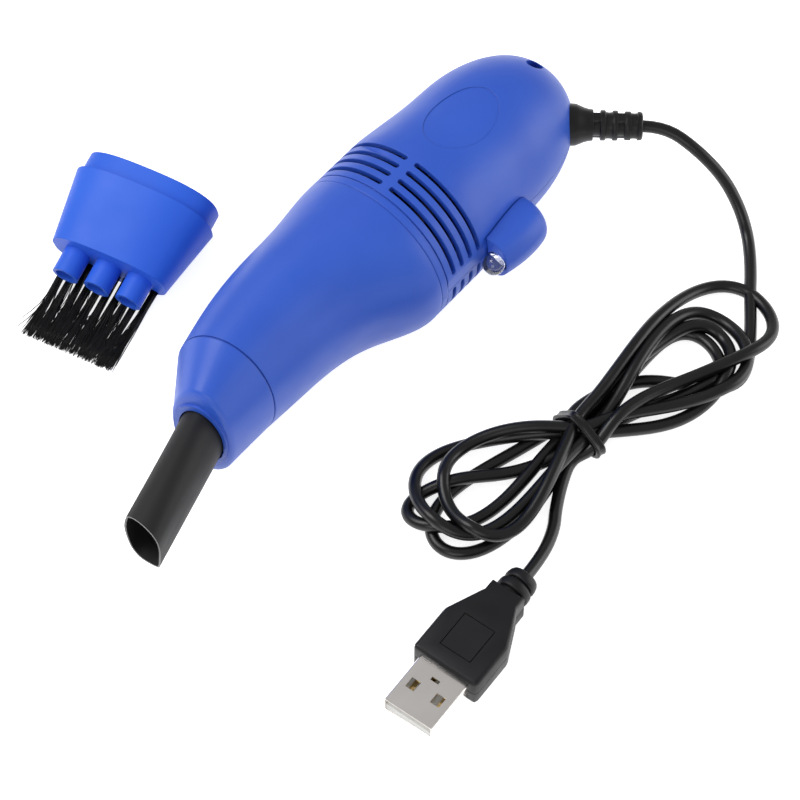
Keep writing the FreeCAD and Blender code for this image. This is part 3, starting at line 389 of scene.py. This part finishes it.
cordSizes = {
    "radius": 1.4, "floorHeight": 1.45,
    "bootRoot": (67.2, -33.35, 20.3), "bootHeading": -52.0, "bootLength": 15.4,
    "leadOut": [(79.8, -49.5, 20.3), (81.1, -57.6, 17.4), (82.5, -64.3, 11.7), (81.9, -69.7, 6.0),
                (79.7, -73.9, 2.2), (75.9, -77.6, 1.45), (71.0, -81.4, 1.45), (67.9, -83.5, 1.45)],
    "leadPlug": [(-4.1, -85.5, 1.45), (-8.0, -88.2, 1.45), (-15.2, -90.7, 2.6)],
    "plugJoint": (-50.8, -93.2, 4.1), "plugHeading": 183.2, "reliefLength": 29.0}
hankSizes = {
    "middle": (14.2, -77.65), "heading": -22.0, "steps": 24, "clearance": 2.62, "slope": 0.32,
    # at the waist: lift of the lowest strands, how much the tie draws them together, and over what reach
    "tieLift": 0.6, "tieReach": 4, "squeeze": 0.4, "squeezeReach": 9,
    # points before a lobe that rise with it, and how its heights are evened
    "rampBack": 8, "smoothPasses": 2, "smoothDrop": 0.1,
    # hidden course of the lead beneath the turns: along and across the hank
    "entry": [(46.2, 5.0), (41.6, -1.5), (37.8, -4.6), (34.0, -4.9), (29.7, -2.7), (25.5, 0.8), (21.6, 3.8),
              (17.7, 5.7), (13.2, 6.6), (8.3, 6.8), (2.8, 5.9)],
    # each lobe: side, reach, drift of its end, half width, bow, taper
    "lobes": [(-1, 40.15, -8.68, 7.79, -1.83, 0.05), (1, 36.66, 5.03, 9.84, 1.47, 1.0),
              (-1, 42.29, -1.49, 6.8, -2.99, 0.67), (1, 39.74, 5.54, 8.66, -2.38, 0.02),
              (-1, 39.66, -2.28, 11.8, 0.86, 0.15), (1, 42.98, 5.35, 12.25, 0.26, 0.52),
              (-1, 34.53, -6.15, 11.79, 0.29, 0.0), (1, 52.39, 9.38, 12.84, 2.95, 0.8)],
    # where the strands cross the waist, one lane after the other
    "lanes": [4.3, -0.32, -3.32, 2.3, -1.35, -3.15, -1.4, 1.57, -5.8],
    # the last strand drops from the turns and leaves beneath them
    "leave": [(0.0, -5.8, 3.2), (-5.0, -4.76, 1.9), (-9.63, -9.0, 1.45)]}


def hankPoint(along, across, height):
    ahead = heading(hankSizes["heading"])
    side = heading(hankSizes["heading"] + 90)
    x, y = hankSizes["middle"]
    return Vector((x, y, height)) + ahead * along + side * across


def hankPlan():
    # the turns as seen from above, every lobe out along its upper arm and back along its lower one
    plan = list(hankSizes["entry"])
    lanes, steps = hankSizes["lanes"], hankSizes["steps"]
    for k, (side, reach, drift, halfWidth, bow, taper) in enumerate(hankSizes["lobes"]):
        for i in range(steps):
            u = -1 + 2 * i / steps
            out = max(0.0, math.cos(math.pi * u / 2))
            swing = math.sin(math.pi * u)
            lane = lanes[k] + (lanes[k + 1] - lanes[k]) * (u + 1) / 2
            middle = (1 - out) * lane + out * drift + bow * math.sin(math.pi * out)
            plan.append((side * reach * out, middle - halfWidth * swing * out ** taper))
    return plan


def restHeight(plan, heights, travelled, index):
    # lowest height at which this point clears every strand laid before it
    px, py = plan[index]
    clear = hankSizes["clearance"]
    lift = hankSizes["tieLift"] * math.exp(-(px / hankSizes["tieReach"]) ** 2)
    height = cordSizes["floorHeight"] + lift
    for j in range(index - 3):
        if travelled[index] - travelled[j] < 3 * clear:
            break  # the rest is the same stretch of the lead
        ax, ay = plan[j]
        vx, vy = plan[j + 1][0] - ax, plan[j + 1][1] - ay
        t = max(0.0, min(1.0, ((px - ax) * vx + (py - ay) * vy) / (vx * vx + vy * vy + 1e-9)))
        gap = math.hypot(px - ax - vx * t, py - ay - vy * t)
        if gap < clear:
            beneath = heights[j] + (heights[j + 1] - heights[j]) * t
            height = max(height, beneath + math.sqrt(clear ** 2 - gap ** 2))
    return height


def layHeights(plan):
    # lobes are laid one by one: each rests on those beneath it, rises gently to them and is smoothed
    travelled = [0.0]
    for a, b in zip(plan, plan[1:]):
        travelled.append(travelled[-1] + math.dist(a, b))
    heights = [cordSizes["floorHeight"]] * len(plan)
    first, steps = len(hankSizes["entry"]), hankSizes["steps"]
    for start in range(first, len(plan), steps):
        end = min(start + steps, len(plan))
        for i in range(start, end):
            heights[i] = restHeight(plan, heights, travelled, i)
        reach = range(max(0, start - hankSizes["rampBack"]), end)
        ramps = {i: max([heights[i]] + [heights[j] - hankSizes["slope"] * abs(travelled[i] - travelled[j])
                                        for j in range(start, end)]) for i in reach}
        for i, height in ramps.items():
            heights[i] = height
        for _ in range(hankSizes["smoothPasses"]):
            level = heights[:]
            for i in reach:
                if 0 < i < end - 1:
                    mean = (level[i - 1] + 2 * level[i] + level[i + 1]) / 4
                    heights[i] = max(level[i] - hankSizes["smoothDrop"], mean)
    # the tie pulls the strands together
    floor = cordSizes["floorHeight"]
    squeeze, width = hankSizes["squeeze"], hankSizes["squeezeReach"]
    return [floor + (height - floor) * (1 - squeeze * math.exp(-(px / width) ** 2))
            for height, (px, _) in zip(heights, plan)]


def cordRoute():
    out = heading(cordSizes["bootHeading"])
    start = Vector(cordSizes["bootRoot"]) + out * cordSizes["bootLength"]
    plan = hankPlan()
    turns = [hankPoint(a, b, h) for (a, b), h in zip(plan, layHeights(plan))]
    turns += [hankPoint(*place) for place in hankSizes["leave"]]
    back = heading(cordSizes["plugHeading"]) * -cordSizes["reliefLength"]
    end = Vector(cordSizes["plugJoint"]) + back
    leadOut, leadPlug = [[Vector(p) for p in cordSizes[name]] for name in ("leadOut", "leadPlug")]
    return [start] + leadOut + turns + leadPlug + [end]


def addCord(route):
    curve = bpy.data.curves.new("powerLead", "CURVE")
    curve.dimensions = "3D"
    spline = curve.splines.new("NURBS")
    spline.points.add(len(route) - 1)
    for point, place in zip(spline.points, route):
        point.co = (*(place * mm), 1)
    spline.order_u = 3
    spline.use_endpoint_u = True
    spline.resolution_u = 5
    curve.bevel_depth = cordSizes["radius"] * mm
    curve.bevel_resolution = 5
    curve.use_fill_caps = True
    cord = bpy.data.objects.new("powerLead", curve)
    bpy.context.scene.collection.objects.link(cord)
    curve.materials.append(finishes["blackRubber"])
    finishPiece(cord, "housing", "black_rubber", "cord_lead_out", "cord_hank", "cord_lead_plug")
    return cord, route[0] * mm


def routeLength(cord):
    bare = cord.data.copy()
    bare.bevel_depth = 0
    probe = bpy.data.objects.new("probe", bare)
    line = [v.co.copy() for v in bpy.data.meshes.new_from_object(probe).vertices]
    bpy.data.objects.remove(probe)
    return sum((b - a).length for a, b in zip(line, line[1:]))


# rubber ring that ties the hank

tieSizes = {
    "along": -0.6, "across": -0.7, "turn": 13.0, "thickness": 1.05, "width": 2.3, "gap": 0.03,
    "points": 72, "span": 12, "smoothPasses": 3,
    # edge of the band: in from its side and down from its top; then the raised edge's foot, and the middle
    "shoulder": [(0, 0.25), (0.15, 0.06), (0.35, 0)], "lip": 0.6, "edge": 0.14, "middle": 1.25,
    "floorGap": (0.02, 0.01)}


def crossings(route, origin, normal, side):
    # where the lead passes the plane of the tie, as (across, height)
    found = []
    for a, b in zip(route, route[1:]):
        first, second = (a - origin).dot(normal), (b - origin).dot(normal)
        if first * second <= 0 and first != second:
            place = a.lerp(b, first / (first - second)) - origin
            if abs(place.dot(side)) < tieSizes["span"]:
                found.append((place.dot(side), place.z))
    return found


def turnsLeft(a, b, c):
    # whether the way from a over b to c bends to the left
    return (b[0] - a[0]) * (c[1] - a[1]) > (b[1] - a[1]) * (c[0] - a[0])


def hullAround(centres, radius):
    # stretched band round equal circles: convex outline with its outward normals, evenly spaced
    angles = [math.radians(a) for a in range(0, 360, 10)]
    rim = sorted({(round(x + radius * math.cos(a), 4), round(y + radius * math.sin(a), 4))
                  for x, y in centres for a in angles})
    halves = []
    for chain in (rim, rim[::-1]):
        half = []
        for p in chain:
            while len(half) > 1 and not turnsLeft(half[-2], half[-1], p):
                half.pop()
            half.append(p)
        halves += half[:-1]
    legs = [math.dist(p, q) for p, q in zip(halves, halves[1:] + halves[:1])]
    step = sum(legs) / tieSizes["points"]
    outline, run, leg = [], 0.0, 0
    for k in range(tieSizes["points"]):
        while run + legs[leg] < k * step:
            run += legs[leg]
            leg += 1
        t = (k * step - run) / legs[leg]
        p, q = Vector(halves[leg]), Vector(halves[(leg + 1) % len(halves)])
        outline.append(p.lerp(q, t))
    count = len(outline)
    for _ in range(tieSizes["smoothPasses"]):
        outline = [(outline[k - 1] + 2 * outline[k] + outline[(k + 1) % count]) / 4 for k in range(count)]
    normals = []
    for k in range(count):
        ahead = (outline[(k + 1) % count] - outline[k - 1]).normalized()
        normals.append(Vector((ahead.y, -ahead.x)))
    return outline, normals


def addTie(route):
    s = tieSizes
    normal = heading(hankSizes["heading"] + s["turn"])
    side = heading(hankSizes["heading"] + s["turn"] + 90)
    origin = hankPoint(s["along"], s["across"], 0)
    outline, normals = hullAround(crossings(route, origin, normal, side), cordSizes["radius"] + s["gap"])
    # across the band: along its width and up from the strands, with raised edges
    w, t, e = s["width"] / 2, s["thickness"], s["edge"]
    corner = [(-w, 0)] + [(-w + i, t - drop) for i, drop in s["shoulder"]] + [(-w + s["lip"], t - e)]
    section = corner + [(0, t - e * s["middle"])] + [(-along, rise) for along, rise in reversed(corner)]
    gap, gapRise = s["floorGap"]
    band = []
    for place, out in zip(outline, normals):
        ring = []
        for along, rise in section:
            across, height = place + out * rise
            level = Vector((0, 0, max(height, gap + gapRise * rise)))  # stays off the floor
            ring.append(origin + normal * along + side * across + level)
        band.append(ring)
    points, faces = loft(band, loop=True)
    tie = addMesh("rubberTie", points, faces, finishes["blackRubber"], Matrix.Scale(mm, 4))
    return finishPiece(tie, "housing", "black_rubber", "cord_tie")


# strain relief: collar, then rings, necks and bodies, with webs above and below the cord

bootSizes = {
    "hole": 1.42, "foot": 4.74, "probe": 6.0, "sunk": 0.12,
    # station along the cord and radius, from inside the tail to the end
    "profile": [(-2.2, 2.5), (-0.2, 2.5), (0.0, 4.74), (0.55, 4.66), (1.4, 4.32), (2.4, 3.88), (3.4, 3.6),
                (4.2, 3.5), (4.4, 3.4), (4.45, 2.45), (5.95, 2.4), (6.0, 3.25), (6.15, 3.38), (7.0, 3.38),
                (7.15, 3.25), (7.2, 2.98), (7.9, 2.9), (8.65, 2.98), (8.7, 3.22), (8.85, 3.34), (9.7, 3.34),
                (9.85, 3.22), (9.9, 2.35), (11.35, 2.3), (11.4, 3.1), (11.55, 3.2), (12.6, 3.2), (12.75, 3.1),
                (12.8, 2.85), (13.5, 2.8), (14.15, 2.86), (14.2, 3.08), (14.35, 3.2), (15.0, 3.14),
                (15.3, 2.9), (15.4, 2.5)],
    "webs": [(4.3, 6.1), (9.7, 11.5)], "webHalf": 1.05, "webLow": 0.1, "webRise": 3.15}


def seatFoot(points, place, out):
    # the collar's foot follows the tail's curved surface, a little sunk into it
    probe, sunk = bootSizes["probe"], bootSizes["sunk"]
    for p in points:
        if p.x < 0.01 and p.yz.length > bootSizes["foot"] - 0.01:
            source = place @ Vector((probe, p.y, p.z))
            reaches = []
            for name in ("upper_housing_shell", "lower_housing_shell"):
                toWorld = nodes[name].matrix_world
                struck, spot, _, _ = nodes[name].ray_cast(toWorld.inverted() @ source, -out)
                if struck:
                    reaches.append((toWorld @ spot - source).length / mm)
            p.x = probe - min(reaches, default=probe) - sunk


def addBoot():
    hole = bootSizes["hole"]
    profile = bootSizes["profile"]
    ring = [(profile[0][0], hole)] + profile + [(profile[-1][0], hole)]
    out = heading(cordSizes["bootHeading"])
    place = axes(cordSizes["bootRoot"], out, heading(cordSizes["bootHeading"] + 90))
    points, faces = lathe(ring, segments=56, hollow=True)
    seatFoot(points, place, out)
    for start, end in bootSizes["webs"]:
        for side in (1, -1):
            half, low, high = bootSizes["webHalf"], hole + bootSizes["webLow"], bootSizes["webRise"]
            corners = [(-half, low), (half, low), (half, high), (-half, high)]
            first = len(points)
            rings = [[Vector((x, y, side * z)) for y, z in corners] for x in (start, end)]
            webPoints, webFaces = loft(rings)
            points += webPoints
            faces += [tuple(first + k for k in face) for face in webFaces]
    boot = addMesh("cordBoot", points, faces, finishes["bootRubber"], place)
    sharpen(boot)
    return finishPiece(boot, "housing", "black_rubber", "cord_boot")


# plug: overmould with its grooved panel and ringed relief, and the metal shell

plugSizes = {
    "halfWidth": 8.0, "halfHeight": 4.1, "length": 10.9, "neck": 19.5, "neckHalf": 4.0, "end": 22.6,
    "corner": 3.2, "cornerTurn": 23.5, "cornerSteps": 6,
    # corners of the end that holds the shell: back from it, and in from the side
    "front": [(0, 0.9), (-0.25, 0.3), (-0.9, 0)],
    # rounded rim: its height, then steps down from the top with the share of the rim drawn in
    "rim": 0.85, "rimSteps": [(0.4, 0.2), (0.12, 0.55), (0, 1)],
    # fine groove of the parting line: half height of its bottom and its mouth, and its depth
    "seam": (0.05, 0.12, 0.09),
    # groove round the bare panel: from, to, half width, depth, width of the groove; pocket for the shell
    "panel": (-12.6, -3.6, 3.9, 0.3, 0.28), "pocket": (-8.05, 1),
    # ringed relief: station and radius
    "relief": [(-19.0, 2.9), (-23.3, 3.0), (-23.33, 3.55), (-23.5, 3.75), (-23.9, 3.84), (-24.9, 3.82),
               (-25.35, 3.72), (-25.55, 3.5), (-25.6, 2.9), (-26.05, 2.88), (-26.1, 3.35), (-26.25, 3.54),
               (-26.6, 3.62), (-27.3, 3.56), (-28.0, 3.38), (-28.45, 3.1), (-28.7, 2.6), (-28.78, 1.9)],
    "shellHalfWidth": 6.0, "shellHalfHeight": 2.25, "shellLength": 12.4, "shellRoot": -7.9, "shellWall": 0.3,
    "shellCorner": 0.55, "shellEdge": (0.12, 0.1),
    # windows: from, to, distance from the middle, half width; notch: from, to, half width
    "windows": (5.1, 7.6, 3.1, 1.1), "notch": (2.6, 3.4, 1.0)}


def plugPlace():
    ahead = cordSizes["plugHeading"]
    return axes(cordSizes["plugJoint"], heading(ahead), heading(ahead + 90))


def blockMesh(name, material, place, spanX, spanY, spanZ):
    (y0, y1), (z0, z1) = spanY, spanZ
    rings = [[Vector((x, y, z)) for y, z in ((y0, z0), (y1, z0), (y1, z1), (y0, z1))] for x in spanX]
    points, faces = loft(rings)
    return addMesh(name, points, faces, material, place, smooth=False)


def overmouldPlan():
    # outline of the overmould as seen on its flat side, from the shell to the relief and back
    s = plugSizes
    w, c, n = s["halfWidth"], s["corner"], s["neckHalf"]
    side = [(x, w - drawn) for x, drawn in s["front"]]
    for k in range(s["cornerSteps"] + 1):
        a = math.radians(s["cornerTurn"] * k / s["cornerSteps"])
        side.append((-s["length"] + 0.4 - c * math.sin(a), w - c * (1 - math.cos(a))))
    side += [(-s["neck"] + 0.3, n + 0.35), (-s["neck"] - 0.2, n + 0.05), (-s["end"], n)]
    return side + [(x, -y) for x, y in reversed(side)]


def overmouldRings():
    # the outline at each height, drawn in at the rounded rims and at the parting line
    s = plugSizes
    top, rim = s["halfHeight"], s["rim"]
    bottom, mouth, depth = s["seam"]
    rise = [(bottom, depth), (mouth, 0.0), (top - rim, 0.0)]
    rise += [(top - down, rim * share) for down, share in s["rimSteps"]]
    rings = []
    for z, inset in [(-z, inset) for z, inset in reversed(rise)] + rise:
        ring = []
        for x, y in overmouldPlan():
            drawn = min(-inset, x) if x > -1 else max(x, -s["end"] + inset * 0.6)
            ring.append(Vector((drawn, y * (1 - inset / s["halfWidth"]), z)))
        rings.append(ring)
    return rings


def panelRings():
    # square groove round the panel, a little narrower at its bottom
    x0, x1, half, depth, width = plugSizes["panel"]
    top, draft = plugSizes["halfHeight"], 0.05
    rings = []
    for z, i in ((top - depth, draft), (top + 1, 0.0), (top + 1, width), (top - depth, width - draft)):
        corners = [(x0 + i, i - half), (x1 - i, i - half), (x1 - i, half - i), (x0 + i, half - i)]
        rings.append([Vector((x, y, z)) for x, y in corners])
    return rings


def addOvermould():
    s = plugSizes
    rubber, place = finishes["plugRubber"], plugPlace()
    w, h = s["shellHalfWidth"], s["shellHalfHeight"]
    block = addMesh("plugOvermould", *loft(overmouldRings()), rubber, place)
    cutAway(block, addMesh("panelCut", *loft(panelRings(), loop=True), rubber, place, smooth=False))
    cutAway(block, blockMesh("pocket", rubber, place, s["pocket"], (-w, w), (-h, h)))
    sharpen(block, 38)
    relief = addMesh("plugRelief", *lathe(s["relief"]), rubber, place)
    sharpen(relief)
    finishPiece(relief, "housing", "black_rubber")
    return finishPiece(block, "housing", "black_rubber", "plug_overmould"), relief


def addPlugShell():
    s = plugSizes
    metal, place = finishes["plugMetal"], plugPlace()
    w, h, wall, length = s["shellHalfWidth"], s["shellHalfHeight"], s["shellWall"], s["shellLength"]
    # station and inset: the edge of the mouth is drawn in
    back, drawn = s["shellEdge"]
    course = [(s["shellRoot"], 0.0), (length - back, 0.0), (length, drawn)]
    outside = [roundedBox(x, w - i, h - i, s["shellCorner"]) for x, i in course]
    inside = [roundedBox(x, w - wall + i * 0.5, h - wall + i * 0.5, s["shellCorner"] - wall * 0.8)
              for x, i in reversed(course)]
    shell = addMesh("plugShell", *loft(outside + inside, loop=True), metal, place)
    x0, x1, y, half = s["windows"]
    for side in (1, -1):
        across = (side * y - half, side * y + half)
        cutAway(shell, blockMesh("window", metal, place, (x0, x1), across, (-h - 1, h + 1)))
    x0, x1, half = s["notch"]
    cutAway(shell, blockMesh("notch", metal, place, (x0, x1), (-half, half), (0, h + 1)))
    sharpen(shell, 38)
    return finishPiece(shell, "housing", "plug_metal", "plug_shell")


# lamp: clear lens with its leadframe and reflector cup inside

lampSizes = {
    "station": 14.3, "rise": 2.7, "radius": 2.45, "length": 5.6, "flange": 0.9, "rim": 0.15,
    # reflector cup in section, its inside first: station and radius
    "cup": [(1.2, 1.15), (2.2, 0.55), (2.25, 0.05), (2.5, 0.05), (2.5, 0.8), (1.2, 1.35)],
    # strips of the leadframe: name, lower and upper edge, front end; and their half thickness
    "frame": [("lampAnvil", 0.2, 1.2, 2.4), ("lampPost", -1.2, -0.35, 1.5)], "frameHalf": 0.2}
# where the cup's mouth meets the housing on the motor's axis, and the housing's radius
bodySizes = {"joint": (12.7, -21.15, 19.4), "housingRadius": 19.4}


def addLamp():
    s = lampSizes
    metal = finishes["plugMetal"]
    x, y, z = bodySizes["joint"]
    origin = (x + s["station"], y - bodySizes["housingRadius"] - s["rise"], z)
    place = axes(origin, Vector((1, 0, 0)), Vector((0, 1, 0)))
    r, flange, edge = s["radius"], s["radius"] + s["rim"], 0.1
    root, back = s["length"], s["length"] + s["flange"]
    dome = [(-r * math.cos(math.radians(a)), r * math.sin(math.radians(a))) for a in range(3, 90, 6)]
    profile = dome + [(edge, r), (root - edge, r), (root, flange), (back - edge, flange), (back, r)]
    lens = addMesh("lampLens", *lathe(profile, segments=56), finishes["clearLamp"], place)
    sharpen(lens)
    parts = [addMesh("lampCup", *lathe(s["cup"], segments=32, hollow=True), metal, place)]
    half = s["frameHalf"]
    for name, low, high, front in s["frame"]:
        parts.append(blockMesh(name, metal, place, (front, back - edge), (-half, half), (low, high)))
    for part in parts:
        finishPiece(part, "housing", "screw_steel")
    return finishPiece(lens, "housing", "clear_lamp", "led_lamp")


# nozzle tube: oval at the neck, pinched to two corners at its slanting tip

tubeSizes = {
    "neck": (-57.0, -2.2), "tilt": 17.2, "inside": 7.5, "halfWidth": 5.08, "halfHeight": 8.42, "wall": 0.45,
    "reach": 29.75, "slant": 0.4, "steps": 22, "tipSteps": 4,
    # how the oval turns into the tip's outline: room left at the end, and how late it starts
    "blendRoom": 2, "blendPower": 1.5,
    # tip outline, across and up, from corner to corner over the top and on below
    "upper": [(4.5, 5.3), (2.74, 6.75), (0.5, 7.5), (-1.7, 7.5), (-3.2, 6.9), (-4.2, 5.6), (-4.64, 3.75),
              (-4.7, 1.8), (-4.5, -0.8), (-4.1, -3.6), (-3.6, -5.2)],
    "lower": [(-3.6, -5.2), (-2.4, -6.1), (-1.0, -6.85), (1.35, -7.9), (3.0, -7.95), (4.5, -6.8), (5.4, -4.1),
              (5.75, -1.1), (5.4, 1.8), (4.5, 5.3)]}


def smoothPath(points, steps):
    # curve through the points, none beyond the two ends
    spots = [Vector(p) for p in points]
    spots = [2 * spots[0] - spots[1]] + spots + [2 * spots[-1] - spots[-2]]
    curve = []
    for a, b, c, d in zip(spots, spots[1:], spots[2:], spots[3:]):
        for k in range(steps):
            u = k / steps
            curve.append(0.5 * (2 * b + (c - a) * u + (2 * a - 5 * b + 4 * c - d) * u ** 2
                                + (3 * b - a - 3 * c + d) * u ** 3))
    return curve


def addNozzleTube():
    s = tubeSizes
    tip = smoothPath(s["upper"], s["tipSteps"]) + smoothPath(s["lower"], s["tipSteps"])
    neck = []
    for p in tip:
        way = p.normalized()
        neck.append(way * (1 / math.hypot(way.x / s["halfWidth"], way.y / s["halfHeight"])))
    rings = []
    for wall in (0.0, s["wall"]):
        course = []
        for k in range(s["steps"] + 1):
            u = k / s["steps"]
            ring = []
            for start, end in zip(neck, tip):
                station = -s["inside"] + u * (s["reach"] - s["slant"] * end.x + s["inside"])
                blend = max(0.0, station / (s["reach"] + s["blendRoom"])) ** s["blendPower"]
                p = start.lerp(end, min(1.0, blend))
                p = p * (1 - wall / p.length)
                ring.append(Vector((station, p.x, p.y)))
            course.append(ring)
        rings.append(course)
    points, faces = loft(rings[0] + rings[1][::-1], loop=True)
    jx, jy, jz = bodySizes["joint"]
    origin = (jx + s["neck"][0], jy + s["neck"][1], jz)
    # mirrored axes: out of the mouth, across and up
    turn = Matrix((-heading(s["tilt"]), heading(s["tilt"] + 90), Vector((0, 0, 1)))).transposed().to_4x4()
    place = Matrix.Translation(Vector(origin) * mm) @ turn @ Matrix.Scale(mm, 4)
    tube = addMesh("nozzleTube", points, faces, finishes["blackTube"], place)
    tube.data.materials.append(finishes["paintedRimHighlight"])
    count = len(tip)
    # the cut rim between the outer and the inner skin gets the lighter grey, a painted highlight where light
    # catches the rim
    for face in tube.data.polygons[s["steps"] * count:(s["steps"] + 1) * count]:
        face.material_index = 1
    tube.data.flip_normals()
    sharpen(tube)
    return finishPiece(tube, "nozzle", "black_tube", "nozzle_tube")


# brush: every tuft is some dozens of bristles that fan out and end unevenly

brushSizes = {
    "place": (-4.2, 30.6), "heading": 193.0, "rimHalf": 10.35, "footHalf": 6.85, "height": 16.85,
    "tufts": 10, "pitch": 2.35, "shift": -4.25, "perTuft": 70, "radius": 0.1, "hole": 0.82, "fan": 1.1,
    "sunk": 0.4, "joints": 7, "tipThin": 0.6, "seed": 11,
    # length of a bristle, its even spread, and the share and spread of the short ones
    "length": 22.0, "lengthSpread": (0.945, 1.02), "shortShare": 0.09, "shortSpread": (0.8, 0.98),
    # how far the ends stray to the sides, the share and stray of loose hairs, and how late they bow
    "stray": 0.88, "looseShare": 0.05, "looseStray": 2.6, "bow": 1.7,
    # how much a tuft draws together by its end: between the tufts, along the row and across it
    "closing": (0.08, 0.25, 0.35),
    # lowest height of a hair's middle: at least, more for the outer hairs, and at random
    "floorGap": 0.16, "floorPile": 0.45, "floorJitter": 0.05}


def brushAxes():
    tilt = math.atan2(brushSizes["rimHalf"] - brushSizes["footHalf"], brushSizes["height"])
    toTips = heading(brushSizes["heading"])
    backward = Vector((0, 0, math.sin(tilt))) - toTips * math.cos(tilt)
    along = heading(brushSizes["heading"] - 90)
    x, y = brushSizes["place"]
    # along the long side, to the upper side, and back from the bristles
    return Vector((x, y, brushSizes["rimHalf"] * math.cos(tilt))), along, backward.cross(along), backward


def bristleCourse(rng, tuftPlace, tuftLean):
    s = brushSizes
    origin, along, upper, backward = brushAxes()
    a, r = rng.uniform(0, 2 * math.pi), s["hole"] * math.sqrt(rng.random())
    du, dv = r * math.cos(a), r * math.sin(a)
    length = s["length"] * rng.uniform(*s["lengthSpread"])
    if rng.random() < s["shortShare"]:
        length *= rng.uniform(*s["shortSpread"])
    stray = rng.gauss(0, s["stray"])
    loose = rng.gauss(0, s["looseStray"]) if rng.random() < s["looseShare"] else 0.0
    rowClosing, uClosing, vClosing = s["closing"]
    course = []
    for k in range(s["joints"] + 1):
        t = k / s["joints"]
        bow = t ** s["bow"]
        u = (tuftPlace * (1 - rowClosing * t) + du * (1 - uClosing * t) + (tuftLean + stray) * bow
             + loose * bow * t)
        v = s["shift"] + dv * (1 - vClosing * t)
        point = origin + along * u + upper * v - backward * (s["height"] - s["sunk"] + length * t)
        # hairs lie on the floor and on each other
        point.z = max(point.z, s["floorGap"] + s["floorPile"] * abs(dv) + rng.random() * s["floorJitter"])
        course.append(point)
    return course


def bristleRings(course):
    # square section along the course, thinner at the tip
    corners = (0.3, 1.87, 3.44, 5.01)
    last = len(course) - 1
    rings = []
    for i, centre in enumerate(course):
        ahead = (course[min(i + 1, last)] - course[max(i - 1, 0)]).normalized()
        side = ahead.cross(Vector((0, 0, 1))).normalized()
        up = side.cross(ahead)
        thin = brushSizes["radius"] * (1 if i < last else brushSizes["tipThin"])
        rings.append([centre + (side * math.cos(a) + up * math.sin(a)) * thin for a in corners])
    return rings


def addBristles():
    s = brushSizes
    rng = random.Random(s["seed"])
    points, faces = [], []
    for k in range(s["tufts"]):
        tuftPlace = (k - (s["tufts"] - 1) / 2) * s["pitch"]
        tuftLean = rng.uniform(-0.5, 0.5) * s["fan"]
        for _ in range(s["perTuft"]):
            first = len(points)
            ringPoints, ringFaces = loft(bristleRings(bristleCourse(rng, tuftPlace, tuftLean)))
            points += ringPoints
            faces += [tuple(first + n for n in face) for face in ringFaces]
    tufts = addMesh("bristles", points, faces, finishes["bristle"], Matrix.Scale(mm, 4))
    return finishPiece(tufts, "brush", "black_bristle", "brush_tufts")


route = cordRoute()
cord, cordExit = addCord(route)
cordLength = routeLength(cord)
print("lead done, length %.3f m" % cordLength)
tie = addTie(route)
boot = addBoot()
overmould, plugRelief = addOvermould()
plugShell = addPlugShell()
print("tie, boot and plug done")
addLamp()
addNozzleTube()
addBristles()
print("lamp and bristles done")
